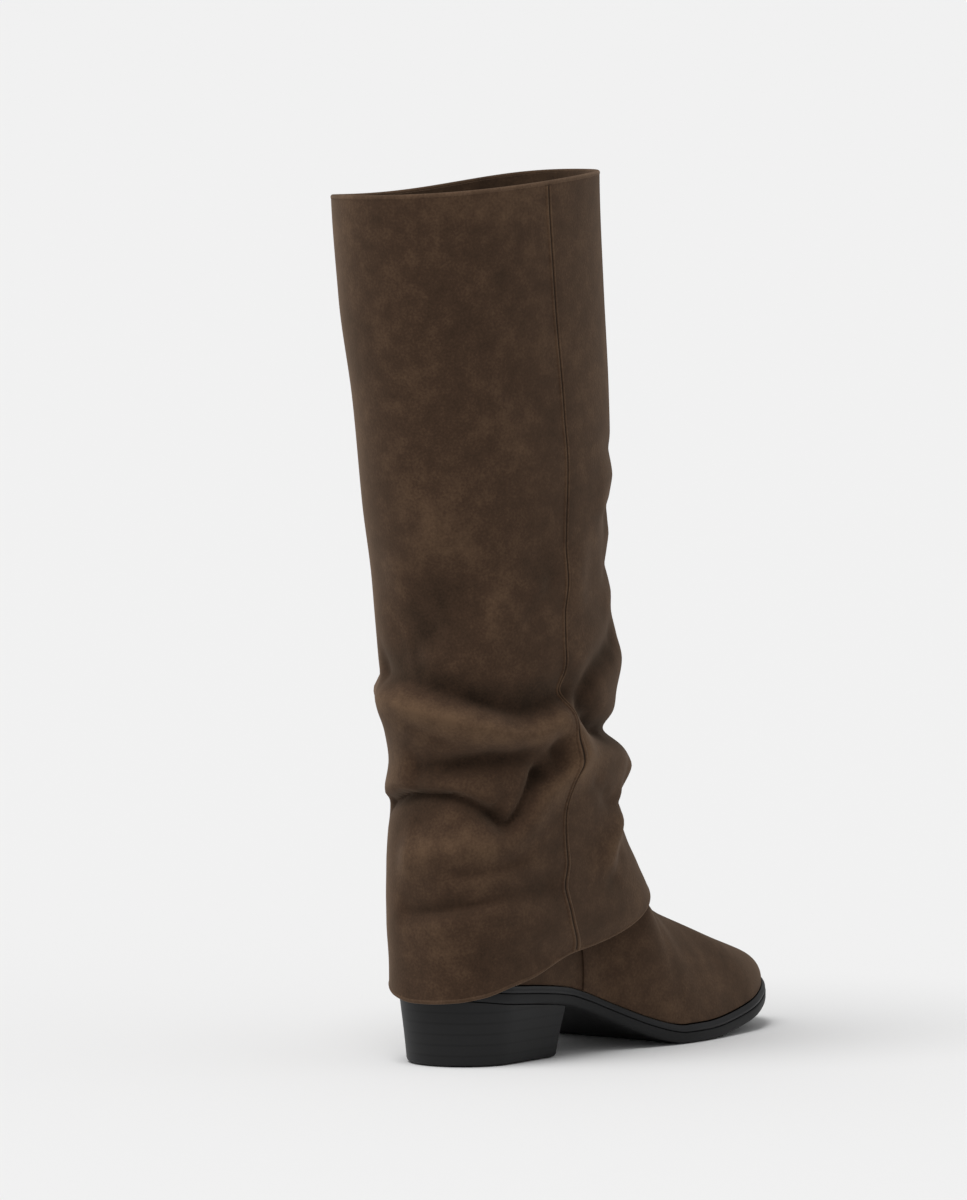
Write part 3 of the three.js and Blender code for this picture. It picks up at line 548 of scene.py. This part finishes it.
# Finer creases between the folds, in the same columns
CREASES = [
    (-1.6, 5, 3, 0.7, 0, [(70, 184), (50, 179), (31, 172), (19, 175), (8, 181)]),
    (1.5, 3, 5, 0.3, 0, [(122, 183), (86, 179), (60, 173), (33, 166), (14, 171)]),
    (-2.2, 7, 5, 0.2, 0, [(-37, 200), (-14, 193), (-7, 186), (1, 177)]),
    (1.6, 6, 6, 0.2, 0, [(96, 205), (74, 200), (52, 190), (30, 186)]),
    (-1.4, 9, 9, 0.0, 0, [(94, 202), (81, 209), (68, 221)]),
    (-2.6, 3, 3, 0.6, 0, [(-8, 172), (-16, 161), (-30, 158)]),
    (1.4, 7, 8, 0.0, 0, [(-24, 146), (-48, 141), (-80, 146)]),
    (-2.4, 4, 4, 0.5, 0, [(-12, 128), (-28, 124), (-39, 122), (-60, 126)]),
    (-2.4, 4, 5, 0.5, 0, [(88, 147), (69, 150), (48, 154), (31, 156), (12, 158)]),
    (-2.6, 3, 4, 0.9, 0, [(140, 129), (120, 130), (104, 134), (69, 136), (54, 130)]),
    (-2.2, 3, 4, 0.8, 0, [(60, 132), (49, 125), (41, 120), (34, 126), (28, 140), (20, 149)]),
    (2.0, 4, 4, 0.3, 0, [(30, 122), (24, 134), (14, 143), (4, 150), (-2, 158)]),
    (-1.8, 5, 4, 0.4, 0, [(80, 97), (52, 97), (32, 100), (14, 104)]),
    (-1.4, 3, 3, 0.9, 0, [(104, 76), (86, 77), (69, 79), (52, 81), (34, 84)]),
    (1.0, 4, 5, 0.0, 0, [(98, 72), (69, 73), (41, 78), (14, 82)]),
    (1.6, 4, 4, 0.5, 0, [(-40, 121), (-30, 112), (-20, 104), (-10, 92)]),
    (-1.3, 5, 5, 0.3, 0, [(-30, 104), (-18, 92), (-8, 80)]),
    (1.0, 10, 10, 0.0, 0, [(-28, 289), (-24, 262)]),
    (-1.2, 9, 9, 0.0, 0, [(-46, 273), (-36, 251), (-30, 238)]),
    (1.1, 8, 8, 0.0, 0, [(-10, 262), (-4, 236), (-4, 214)]),
    (-1.2, 12, 12, 0.0, 0, [(16, 262), (20, 232)]),
    (1.3, 12, 12, 0.0, 0, [(38, 236), (48, 214), (60, 204)]),
    (-1.0, 14, 14, 0.0, 0, [(60, 300), (80, 280)]),
    (0.9, 18, 18, 0.0, 0, [(30, 330), (50, 312)]),
    (-0.8, 22, 22, 0.0, 0, [(40, 372), (66, 356)]),
    (1.6, 6, 9, 0.2, 0, [(-70, 110), (-95, 100), (-125, 104)]),
    (-2.0, 4, 5, 0.5, 0, [(-160, 152), (-190, 156), (-222, 150)]),
    (-2.0, 5, 5, 0.5, 0, [(-90, 170), (-120, 172), (-160, 164)]),
    (-1.6, 4, 4, 0.6, 0, [(-120, 126), (-160, 122), (-200, 130)]),
    (1.4, 8, 8, 0.0, 0, [(-150, 212), (-180, 204), (-215, 208)]),
    (-2.6, 8, 14, 0.0, 0, [(112, 180), (140, 183), (160, 183), (190, 182)]),
    (-1.0, 5, 5, 0.3, 0, [(-74, 296), (-46, 297), (-20, 303)]),
    (1.0, 6, 6, 0.2, 0, [(-74, 284), (-46, 284), (-18, 290)]),
    (-1.2, 5, 5, 0.3, 0, [(-74, 270), (-46, 268), (-20, 262)]),
    (1.0, 5, 6, 0.2, 0, [(-74, 256), (-46, 254), (-22, 246)]),
    (-1.3, 5, 5, 0.3, 0, [(-76, 243), (-48, 240), (-24, 232)]),
    (1.4, 6, 7, 0.2, 0, [(-74, 230), (-46, 226), (-22, 216)]),
    (-1.2, 6, 5, 0.4, 0, [(34, 214), (24, 224), (14, 236), (11, 248)]),
    (1.1, 5, 6, 0.3, 0, [(42, 210), (30, 220), (20, 232), (16, 246)]),
    (-1.1, 4, 4, 0.5, 0, [(100, 170), (84, 167), (66, 160), (52, 158)]),
    (1.2, 4, 4, 0.4, 0, [(34, 150), (24, 156), (12, 164), (4, 168)]),
    (-1.2, 4, 4, 0.5, 0, [(-4, 140), (-14, 132), (-26, 128)]),
    (-0.9, 5, 5, 0.3, 0, [(96, 116), (84, 122), (72, 124)]),
    (0.9, 5, 5, 0.2, 0, [(60, 92), (44, 94), (26, 100), (14, 112)]),
]
CREASE_FADE = 0.3


def through(points, steps=5):
    """A smooth line through a few points."""
    p = np.array([points[0], *points, points[-1]], float)
    t = np.linspace(0, 1, steps, endpoint=False)[:, None]
    parts = []
    for a, b, c, d in zip(p, p[1:], p[2:], p[3:]):
        parts.append(0.5 * (2 * b + (c - a) * t + (2 * a - 5 * b + 4 * c - d) * t ** 2
                            + (3 * b - a - 3 * c + d) * t ** 3))
    return np.concatenate([*parts, p[-1:]])


def crease(turn, z, above, below, keen, line, fade=0.0):
    """1 along a line on the shaft, fading to 0 beside it and, with a fade, toward both of its ends."""
    points = through(line)
    steps = np.hypot(np.diff(points[:, 0]) * MM_PER_DEGREE, np.diff(points[:, 1]))
    passed = np.concatenate([[0], np.cumsum(steps)])
    near = np.full(np.shape(turn), 1e9)
    lean = np.zeros(np.shape(turn))
    place = np.zeros(np.shape(turn))
    for k, ((t0, z0), (t1, z1)) in enumerate(zip(points, points[1:])):
        p = (turn - 360 * np.round((turn - 0.5 * (t0 + t1)) / 360) - t0) * MM_PER_DEGREE
        run = (t1 - t0) * MM_PER_DEGREE, z1 - z0
        share = np.clip((p * run[0] + (z - z0) * run[1]) / (steps[k] ** 2 + 1e-9), 0, 1)
        off = p - share * run[0], z - z0 - share * run[1]
        distance = np.hypot(*off)
        closer = distance < near
        near = np.where(closer, distance, near)
        lean = np.where(closer, off[1] / (distance + 1e-6), lean)
        place = np.where(closer, (passed[k] + share * steps[k]) / passed[-1], place)
    width = 0.5 * (above + below) + 0.5 * (above - below) * lean
    soft = np.exp(-((near / width) ** 2))
    sharp = np.exp(-(np.sqrt(near ** 2 + 1) - 1) / (0.62 * width))
    ends = ramp(0, fade, place) * ramp(0, fade, 1 - place) if fade else 1
    return ends * ((1 - keen) * soft + keen * sharp)


def folds_at(turn, z):
    """How far the folds push the cloth outward, and how far they let it hang down."""
    out, hang = np.zeros(np.shape(turn)), np.zeros(np.shape(turn))
    for rows, fade in ((FOLDS, 0.0), (CREASES, CREASE_FADE)):
        for push, above, below, keen, drop, line in rows:
            share = crease(turn, z, above, below, keen, line, fade)
            out += push * share
            hang += drop * share
    return out, hang


# %% The shaft's surface
def shaft_point(turn, z):
    """A point of the shaft's outer face."""
    x, y = shaft_section(turn, z)
    before, after = shaft_section(turn - 1, z), shaft_section(turn + 1, z)
    nx, ny = before[1] - after[1], after[0] - before[0]
    size = np.hypot(nx, ny)
    out, hang = folds_at(turn, z)
    keep = ramp(0, HANG_FADE, z - hem_at(turn))
    return np.stack([x + nx / size * out, y + ny / size * out, z - hang * keep])


def shaft_normal(turn, z, reach=1.5):
    """Unit normal of the shaft's outer face, pointing away from the leg."""
    around = shaft_point(turn + reach, z) - shaft_point(turn - reach, z)
    upward = shaft_point(turn, z + reach) - shaft_point(turn, z - reach)
    normal = np.cross(upward, around, axis=0)
    return normal / np.linalg.norm(normal, axis=0)


def hem_at(turn):
    """Height of the free lower edge."""
    return HEM_HEIGHT * read(HEM, 1, (turn + 540) % 360 - 180)


def collar_at(turn):
    """The topline dips toward the inner side, sags between the seams and rises again in front."""
    angle = np.radians(turn)
    dip = COLLAR_DIP * (0.5 - 0.5 * np.cos(angle)) + COLLAR_SAG * np.sin(2 * angle)
    away = (turn - COLLAR_RISE_TURN + 180) % 360 - 180
    return SHAFT_HEIGHT - dip + COLLAR_RISE * bump(away, 0, COLLAR_RISE_WIDTH)


# %% [markdown]
# ## Suede
# Suede is the inner side of the hide, sanded until short fibres stand up as a nap. Where the fibres lie
# one way it is lighter and where they lie the other way it is darker, which gives soft clouds a few
# centimetres wide. It has no gloss, but the nap catches light at a grazing angle, which is what the
# shader's sheen does. The colour also holds painted light: a point attribute carries the height of the
# folds to the colour, so ridges are painted lighter as painted highlight and troughs are painted darker
# as painted shade.

# %% Suede material
CLOUD = 0.045
STREAK = 0.009
FIBRE = 0.0012
CLOUD_SHARE = 0.40
STREAK_SHARE = 0.32
FIBRE_SHARE = 0.28
# Strength of the painted light on the folds: painted highlight on ridges, painted shade in troughs
PAINTED_LIGHT_SHARE = 0.22
MIDDLE_TONE = 0.5
TONE_REACH = 0.24


def suede_finish(name, dark, middle, light, sheen):
    """Nap clouds, finer streaks and fibres, and painted highlight on fold ridges with painted shade in the
    troughs.
    """
    made, tree, shader = new_material(name)
    where = node(tree, "ShaderNodeTexCoord").outputs["Object"]
    cloud = node(tree, "ShaderNodeTexNoise", {"Vector": where, "Scale": 1 / CLOUD, "Detail": 4.0,
                 "Roughness": 0.55})
    streak = node(tree, "ShaderNodeTexNoise", {"Vector": where, "Scale": 1 / STREAK, "Detail": 3.0})
    fibre = node(tree, "ShaderNodeTexNoise", {"Vector": where, "Scale": 1 / FIBRE, "Detail": 3.0})
    # Painted light: the fold height paints ridges lighter as highlight and troughs darker as shade
    painted_light_and_shade = node(tree, "ShaderNodeAttribute", attribute_name="painted_light_and_shade").outputs["Fac"]
    total = node(tree, "ShaderNodeMath", {0: cloud.outputs["Fac"], 1: CLOUD_SHARE}, operation="MULTIPLY")
    for part, share in ((streak.outputs["Fac"], STREAK_SHARE), (fibre.outputs["Fac"], FIBRE_SHARE),
                        (painted_light_and_shade, PAINTED_LIGHT_SHARE)):
        total = node(tree, "ShaderNodeMath", {0: part, 1: share, 2: total.outputs[0]},
                     operation="MULTIPLY_ADD")
    tone = node(tree, "ShaderNodeValToRGB", {"Fac": total.outputs[0]})
    stops = tone.color_ramp.elements
    stops[0].position, stops[0].color = MIDDLE_TONE - TONE_REACH, linear(dark)
    stops[1].position, stops[1].color = MIDDLE_TONE + TONE_REACH, linear(light)
    stops.new(MIDDLE_TONE).color = linear(middle)
    tree.links.new(tone.outputs[0], shader.inputs["Base Color"])
    shader.inputs["Roughness"].default_value = 0.95
    shader.inputs["Specular IOR Level"].default_value = 0.15
    shader.inputs["Sheen Weight"].default_value = sheen
    shader.inputs["Sheen Roughness"].default_value = 0.55
    shader.inputs["Sheen Tint"].default_value = linear("C8AC92")
    relief = node(tree, "ShaderNodeBump", {"Height": fibre.outputs["Fac"], "Strength": 0.25,
                  "Distance": 0.0004})
    tree.links.new(relief.outputs[0], shader.inputs["Normal"])
    return made


suede = suede_finish("brown_suede", "23180F", "3E2D21", "5C4735", 0.25)
suede_edge = suede_finish("turned_suede_edge", "2E2118", "4A382A", "66503F", 0.3)
lining = suede_finish("grey_brown_lining", "2A2420", "3B332C", "544B41", 0.1)

# %% [markdown]
# ## Shaft
# The flat pattern is a grid: across is one turn round the leg, and up is from the hem to the collar. It is
# laid on the folded surface, its two long edges are merged, and a Solidify modifier gives it the 1.8 mm
# of suede and lining. The inner faces get the lining by the modifier's material offset.

# %% Shaft
AROUND = 216
LEVELS = 190
FINER_BELOW = 1.3


def shaft_place(u, v, layer):
    turn = 180 * u
    share = (0.5 * (v + 1)) ** FINER_BELOW
    z = hem_at(turn) + (collar_at(turn) - hem_at(turn)) * share
    return shaft_point(turn, z)


def write_painted_light(piece, height_of):
    """Writes the point attribute of painted light, from 0 in a trough (painted shade) to 1 on a ridge
    (painted highlight).
    """
    flat = np.empty(3 * len(piece.data.vertices))
    piece.data.vertices.foreach_get("co", flat)
    values = height_of(*flat.reshape(-1, 3).T)
    layer = piece.data.attributes.new("painted_light_and_shade", "FLOAT", "POINT")
    layer.data.foreach_set("value", np.clip(values, -1, 1).astype(np.float32))


# Fold height for the painted light: ridges get painted highlight, troughs get painted shade
def fold_light_and_shade(u, v, layer):
    turn = 180 * u
    z = hem_at(turn) + (collar_at(turn) - hem_at(turn)) * (0.5 * (v + 1)) ** FINER_BELOW
    return folds_at(turn, z)[0] / FOLD_DEPTH


shaft = pattern("suede_shaft", AROUND, LEVELS)
# Painted highlight on the fold ridges and painted shade in the troughs, written before laying
write_painted_light(shaft, fold_light_and_shade)
lay(shaft, shaft_place)
close(shaft)
shaft.data.materials.append(suede)
shaft.data.materials.append(lining)
wall(shaft, SHAFT_WALL, inner_material=1)
ready(shaft, None, "shaft", sharp=60)

# %% [markdown]
# ## Side seams
# The front and back halves of the shaft are joined by a seam down each side, sewn inside and rubbed flat,
# so two low ridges with a groove between them show outside. The groove's shade is painted as a dark line
# along the middle of the strip, and the ridges' crests are painted lighter as painted highlight. Each is
# a narrow strip on the surface, whose profile across is set by a function.

# %% Side seams
SEAM_HALF = 2.6
SEAM_RISE = 0.75
# How much lighter the ridges' crests are painted: a painted highlight
SEAM_CREST_HIGHLIGHT = 0.6
SEAM_SINK = 0.25
SEAM_WALL = 0.6
# Half of the strip's width is 1 here: where the ridge's crest lies, and its width
CREST = 0.36, 0.2
# Height, then the turn of the outer seam
OUTER_SEAM = [
    (50, 2), (54, 2), (70, 7), (84, 8), (100, 5), (125, 8), (137, 9), (157, 4), (174, 5), (186, 9),
    (200, 9), (219, 7), (238, 4), (256, 5), (296, 3), (316, 4), (356, 5), (397, 6), (436, 7),
]


def groove_shade_finish(name):
    """Suede with painted shade: a dark line along the middle of its strip, where the seam's groove lies."""
    made = suede.copy()
    made.name = name
    tree = made.node_tree
    shader = next(n for n in tree.nodes if n.type == "BSDF_PRINCIPLED")
    tone = next(n for n in tree.nodes if n.type == "VALTORGB")
    across = node(tree, "ShaderNodeUVMap").outputs[0]
    split = node(tree, "ShaderNodeSeparateXYZ", {0: across})
    # Painted shade: a dark line down the middle of the strip stands in for the shade in the groove
    off = node(tree, "ShaderNodeMath", {0: split.outputs[1], 1: 0.5}, operation="SUBTRACT")
    away = node(tree, "ShaderNodeMath", {0: off.outputs[0]}, operation="ABSOLUTE")
    line = node(tree, "ShaderNodeMapRange", {0: away.outputs[0], 1: 0.03, 2: 0.11, 3: 1.0, 4: 0.0})
    dark = node(tree, "ShaderNodeMix", {0: line.outputs[0], 6: tone.outputs[0], 7: linear("1D140D")},
                data_type="RGBA")
    tree.links.new(dark.outputs[2], shader.inputs["Base Color"])
    return made


suede_with_groove_shade = groove_shade_finish("suede_with_painted_groove_shade")


def side_seam(name, turn_of):
    """A strip from hem to topline with two low ridges. turn_of gives its turn at each height."""
    strip = pattern(name, 260, 14)

    def place(u, v, layer):
        start = hem_at(turn_of(0 * u + HEM_HEIGHT)) + 0.4
        end = collar_at(turn_of(0 * u + SHAFT_HEIGHT)) - 1.6
        z = start + (end - start) * 0.5 * (u + 1)
        turn = turn_of(z) - v * SEAM_HALF / MM_PER_DEGREE
        rise = SEAM_RISE * bump(np.abs(v), *CREST) - SEAM_SINK * ramp(0.6, 1.0, np.abs(v))
        return shaft_point(turn, z) + rise * shaft_normal(turn, z)

    # Painted highlight: the ridges' crests are written lighter
    write_painted_light(strip, lambda u, v, layer: SEAM_CREST_HIGHLIGHT * bump(np.abs(v), *CREST))
    lay(strip, place)
    close(strip)
    wall(strip, SEAM_WALL)
    ready(strip, suede_with_groove_shade, sharp=60)


side_seam("outer_side_seam", lambda z: read(OUTER_SEAM, 1, z))
side_seam("inner_side_seam", lambda z: 180 - 0.6 * read(OUTER_SEAM, 1, z))

# %% [markdown]
# ## Turned edges
# At the topline and at the hem the suede is turned over, which rounds the edge and shows it as a thin
# lighter line. Each is a ring of small ovals that follows the edge, a quarter of a millimetre proud of
# the wall on both sides.

# %% Topline and hem rolls
ROLL_HALF_TALL = 1.3


def edge_roll(name, height_at, half_thick):
    """A ring of ovals that follows an edge of the shaft."""
    ring = pattern(name, AROUND, 14)

    def place(u, v, layer):
        turn, angle = 180 * u, math.pi * v
        z = height_at(turn)
        normal = shaft_normal(turn, z)
        normal[2] = 0
        normal = normal / np.linalg.norm(normal, axis=0)
        offset = half_thick * np.cos(angle) - 0.5 * SHAFT_WALL
        placed = shaft_point(turn, z) + offset * normal
        placed[2] += ROLL_HALF_TALL * np.sin(angle)
        return placed

    ring.data.attributes.new("painted_light_and_shade", "FLOAT", "POINT")
    lay(ring, place)
    close(ring)
    ready(ring, suede_edge, sharp=80)


edge_roll("turned_topline", lambda turn: collar_at(turn) - 0.6, 1.12)
edge_roll("turned_hem", lambda turn: hem_at(turn) + 0.6, 1.15)

# %% [markdown]
# ## Facing and its stitches
# Inside the collar a strip of suede is turned down over the lining and sewn along its lower edge. The
# stitches are short rounded pieces of thread, one modelled and the rest copied along the line.

# %% Facing
FACING_DEPTH = 9
FACING_THICKNESS = 0.7
FACING_DROP = 0.8
facing = pattern("collar_facing", AROUND, 6)


def facing_place(u, v, layer):
    turn = 180 * u
    z = collar_at(turn) - FACING_DROP - FACING_DEPTH * 0.5 * (1 - v)
    normal = shaft_normal(turn, z)
    return shaft_point(turn, z) - (SHAFT_WALL + 0.5 * FACING_THICKNESS) * normal


facing.data.attributes.new("painted_light_and_shade", "FLOAT", "POINT")
lay(facing, facing_place)
close(facing)
wall(facing, FACING_THICKNESS)
ready(facing, suede_edge, sharp=60)

# %% Thread
def grained(name, dark, light, grain, rough):
    """A plain material whose colour shifts a little with a fine grain."""
    made, tree, shader = new_material(name)
    where = node(tree, "ShaderNodeTexCoord").outputs["Object"]
    noise = node(tree, "ShaderNodeTexNoise", {"Vector": where, "Scale": 1 / grain, "Detail": 3.0})
    tone = node(tree, "ShaderNodeMix", {0: noise.outputs["Fac"], 6: linear(dark), 7: linear(light)},
                data_type="RGBA")
    tree.links.new(tone.outputs[2], shader.inputs["Base Color"])
    relief = node(tree, "ShaderNodeBump", {"Height": noise.outputs["Fac"], "Strength": 0.2,
                  "Distance": 0.0001})
    tree.links.new(relief.outputs[0], shader.inputs["Normal"])
    shader.inputs["Roughness"].default_value = rough
    return made


THREAD_GRAIN = 0.0006
thread = grained("brown_polyester_thread", "5A3422", "7C4B33", THREAD_GRAIN, 0.6)

# %% Stitches of the facing
STITCH_PITCH = 3.2
STITCH_DROP = 0.85
STITCH_RADII = 1.25, 0.35, 0.3
count = round(360 * MM_PER_DEGREE / STITCH_PITCH)
turns = np.linspace(-180, 180, count, endpoint=False)
heights = collar_at(turns) - FACING_DROP - STITCH_DROP * FACING_DEPTH
inward = shaft_normal(turns, heights)
spots = shaft_point(turns, heights) - (SHAFT_WALL + 1.6 * FACING_THICKNESS) * inward
ahead = shaft_point(turns + 1, heights) - shaft_point(turns - 1, heights)
bpy.ops.object.select_all(action="DESELECT")
bpy.ops.mesh.primitive_uv_sphere_add(segments=8, ring_count=6, radius=1)
first = bpy.context.object
first.scale = [radius * MM for radius in STITCH_RADII]
bpy.ops.object.transform_apply(location=False, rotation=False, scale=True)
stitches = []
for k in range(count):
    stitch = first.copy()
    stitch.data = first.data.copy()
    bpy.context.collection.objects.link(stitch)
    direction = Vector(ahead[:, k])
    stitch.matrix_world = direction.to_track_quat("X", "Z").to_matrix().to_4x4()
    stitch.location = Vector(spots[:, k]) * MM
    stitches.append(stitch)
bpy.ops.object.select_all(action="DESELECT")
for stitch in stitches:
    stitch.select_set(True)
first.select_set(False)
bpy.data.objects.remove(first)
bpy.context.view_layer.objects.active = stitches[0]
bpy.ops.object.join()
row = bpy.context.object
row.name = "facing_stitches"
bpy.ops.object.transform_apply(location=True, rotation=True, scale=True)
ready(row, thread, sharp=60)

# %% [markdown]
# ## Foot upper
# The quarters and the vamp are lasted over the shape of a foot. A rib runs from the feather line up to
# the ankle or, in the forepart, over to the middle line, and all ribs together make one surface. The
# outer and inner sides are laid from one pattern each and merged along the middle.

# %% Upper sizes
UPPER_WALL = 2
INSTEP_HEIGHT = 89
ANKLE_HEIGHT = 112
ANKLE_DEPTH = 104
ANKLE_WIDTH = 70
ANKLE_MIDDLE = 18
RIM_FLARE = 10
STEEP_ROOM = 20
COUNTER_BULGE = 1.5
LEG_RIBS = 13
FOOT_RIBS = 19
RIBS = LEG_RIBS + FOOT_RIBS
LEG_END = 0.36
LEVEL_CROWDING = 1.2
RIM_ROOM = 3
BULGE_TOP = 0.5
LEAD_END = 0.2
BLEND_START = 0.75 * LEG_RIBS
BLEND_END = LEG_RIBS + 0.2 * FOOT_RIBS
# Step along the forepart, share of the sole's length, height as a share of the instep height, fullness
RIDGE = [
    (0.00, 0.446, 1.820, 2.00), (0.08, 0.446, 1.600, 1.95), (0.16, 0.450, 1.370, 1.90),
    (0.24, 0.460, 1.140, 1.63), (0.32, 0.484, 0.960, 1.55), (0.42, 0.535, 0.810, 1.62),
    (0.52, 0.604, 0.690, 1.80), (0.62, 0.678, 0.585, 1.96), (0.72, 0.746, 0.508, 2.12),
    (0.82, 0.812, 0.452, 2.22), (0.91, 0.873, 0.402, 2.30), (1.00, 0.930, 0.342, 2.35),
]


# %% The upper's surface
def mix(a, b, t):
    """Passes from a to b as t goes from 0 to 1."""
    return a + (b - a) * t


def feather_point(rib, side):
    """Place on the feather line where a rib starts."""
    start, end = SOLE_BACK + SEAT_MARGIN + FIT, SOLE_FRONT - WELT_MARGIN - FIT
    leg_x = SOLE_BACK + LEG_END * SOLE_LENGTH
    t = np.clip(rib / LEG_RIBS, 0, 1)
    share = 0.35 * (1 - np.cos(0.5 * math.pi * t)) + 0.65 * t * t * (1.5 - 0.5 * t)
    seat = start + (leg_x - start) * share
    s = np.clip((rib - LEG_RIBS) / FOOT_RIBS, 0, 1)
    x = np.where(rib <= LEG_RIBS, seat, leg_x + (end - leg_x) * np.sin(0.5 * math.pi * s))
    margin = np.where(x < 0, SEAT_MARGIN, margin_of(x)) + FIT
    y = (-1 if side == OUTER else 1) * half_width(x, side, margin)
    return np.stack([x, y, feather(x, y) + 2 * FIT])


def rim_point(rib, side):
    """Place on the ankle rim, just inside the shaft's neck."""
    t = np.clip(rib / LEG_RIBS, 0, 1)
    back_turn = 90 - 180 * t
    turn = back_turn if side == OUTER else 180 - back_turn
    z = 0 * turn + FOLD_HEIGHT
    normal = shaft_normal(turn, z, 3)
    flat = np.hypot(normal[0], normal[1])
    inward = SHAFT_WALL / flat + 2 * FIT + STEEP_ROOM * (1 - flat) + RIM_ROOM
    x, y, _ = shaft_point(turn, z)
    y = np.where((t == 0) | (t == 1), 0, y - inward * normal[1] / flat)
    return np.stack([x - inward * normal[0] / flat, y, z])


def ridge_point(rib):
    """Place on the middle line over the forepart, where a rib ends."""
    step = np.clip((rib - LEG_RIBS) / FOOT_RIBS, 0, 1)
    start = rim_point(np.array([float(LEG_RIBS)]), OUTER)[:, 0]
    x = SOLE_BACK + SOLE_LENGTH * read(RIDGE, 1, step)
    z = INSTEP_HEIGHT * read(RIDGE, 2, step)
    lead = 1 - ramp(0, LEAD_END, step)
    return np.stack([x + (start[0] - SOLE_BACK - SOLE_LENGTH * RIDGE[0][1]) * lead, 0 * x,
                     z + (start[2] - INSTEP_HEIGHT * RIDGE[0][2]) * lead])


def upper_point(side, rib, level):
    """A point of the upper's outer face: the leg's ribs pass into those of the forepart."""
    foot = feather_point(rib, side)
    rim = rim_point(rib, side)
    angle = math.pi * (1 - np.clip(rib / LEG_RIBS, 0, 1))
    sign = -1 if side == OUTER else 1
    ankle = np.stack([ANKLE_MIDDLE + 0.5 * ANKLE_DEPTH * np.cos(angle),
                      sign * 0.5 * ANKLE_WIDTH * np.sin(angle)])
    z = mix(foot[2], rim[2], level)
    inward = ramp(foot[2], ANKLE_HEIGHT, z)
    flare = ramp(rim[2] - RIM_FLARE, rim[2], z)
    bulge = COUNTER_BULGE * np.sin(math.pi * np.clip(level / BULGE_TOP, 0, 1))
    outward = np.stack([foot[0] - ANKLE_MIDDLE, foot[1]])
    outward = outward / np.linalg.norm(outward, axis=0)
    leg = mix(mix(foot[:2], ankle, inward), rim[:2], flare) + outward * bulge
    leg = np.stack([leg[0], leg[1], z])
    top = ridge_point(rib)
    full = read(RIDGE, 3, np.clip((rib - LEG_RIBS) / FOOT_RIBS, 0, 1))
    turn = 0.5 * math.pi * level
    across = 1 - np.clip(np.cos(turn), 0, 1) ** (2 / full)
    rise = np.clip(np.sin(turn), 0, 1) ** (2 / full)
    arch = np.stack([mix(foot[0], top[0], across), mix(foot[1], top[1], across),
                     mix(foot[2], top[2], rise)])
    return mix(leg, arch, ramp(BLEND_START, BLEND_END, rib))


# %% Quarters and lining
RIB_STEPS = 128
LEVEL_STEPS = 44


def both_sides(name, place_of, long=RIB_STEPS, wide=LEVEL_STEPS, merge=0.02):
    """Lays one pattern on each side of the foot and merges them along the middle."""
    halves = []
    for side in (OUTER, INNER):
        half = pattern(f"{name}_{side}", long, wide)
        half.data.attributes.new("painted_light_and_shade", "FLOAT", "POINT")
        lay(half, lambda u, v, layer: place_of(side, 0.5 * (u + 1), 0.5 * (v + 1)))
        halves.append(half)
    bpy.ops.object.select_all(action="DESELECT")
    for half in halves:
        half.select_set(True)
    bpy.context.view_layer.objects.active = halves[0]
    bpy.ops.object.join()
    halves[0].name = name
    close(halves[0], merge)
    return halves[0]


quarters = both_sides("quarters", lambda side, u, v: upper_point(side, RIBS * u, v ** LEVEL_CROWDING))
quarters.data.materials.append(suede)
quarters.data.materials.append(lining)
wall(quarters, UPPER_WALL, inner_material=1)
ready(quarters, None, "upper", sharp=60)

# %% [markdown]
# ## Vamp
# The vamp is a second layer that overlaps the quarters in front of a seam. It is laid on the same
# surface, from the seam to the toe, and its 0.9 mm grow outward, so its turned rear edge stands as a
# small step with a rounded top, as on the real boot.

# %% Vamp
VAMP_OVERLAY = 0.9
VAMP_SEAM_ALONG = 52
VAMP_SEAM_BOW = 2.5
VAMP_SEAM_WAVES = 5
VAMP_BEVEL = 0.35
SEARCH_RIBS = np.linspace(5, 22, 240)


def seam_rib(side, level):
    """The rib that crosses the vamp's seam at each level."""
    levels, back_to = np.unique(np.round(level, 6), return_inverse=True)
    found = []
    for one in levels:
        x = upper_point(side, SEARCH_RIBS, 0 * SEARCH_RIBS + one)[0]
        seam_x = VAMP_SEAM_ALONG + VAMP_SEAM_BOW * math.sin(VAMP_SEAM_WAVES * one)
        found.append(np.interp(seam_x, x, SEARCH_RIBS))
    return np.array(found)[back_to.ravel()]


def vamp_place(side, u, v):
    level = v ** LEVEL_CROWDING
    start = seam_rib(side, level)
    return upper_point(side, start + (RIBS - start) * u, level)


vamp = both_sides("vamp", vamp_place, long=100)
wall(vamp, VAMP_OVERLAY, outward=True)
bevel = vamp.modifiers.new("turned_edge", "BEVEL")
bevel.width = VAMP_BEVEL * MM
bevel.segments = 2
bevel.limit_method = "ANGLE"
bevel.angle_limit = math.radians(60)
bpy.context.view_layer.objects.active = vamp
bpy.ops.object.modifier_apply(modifier=bevel.name)
ready(vamp, suede, sharp=60)

# %% [markdown]
# ## Insole
# The insole is a flat board covered with pale leather. It lies hidden in the boot and its solid already
# has the true shape, so that node is kept and only gets its leather with a fine grain.

# %% Insole
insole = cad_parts["insole"]
LEATHER_GRAIN = 0.0015
leather = grained("pale_leather_insole", "7E6B58", "96836E", LEATHER_GRAIN, 0.8)
insole.data.materials.clear()
insole.data.materials.append(leather)
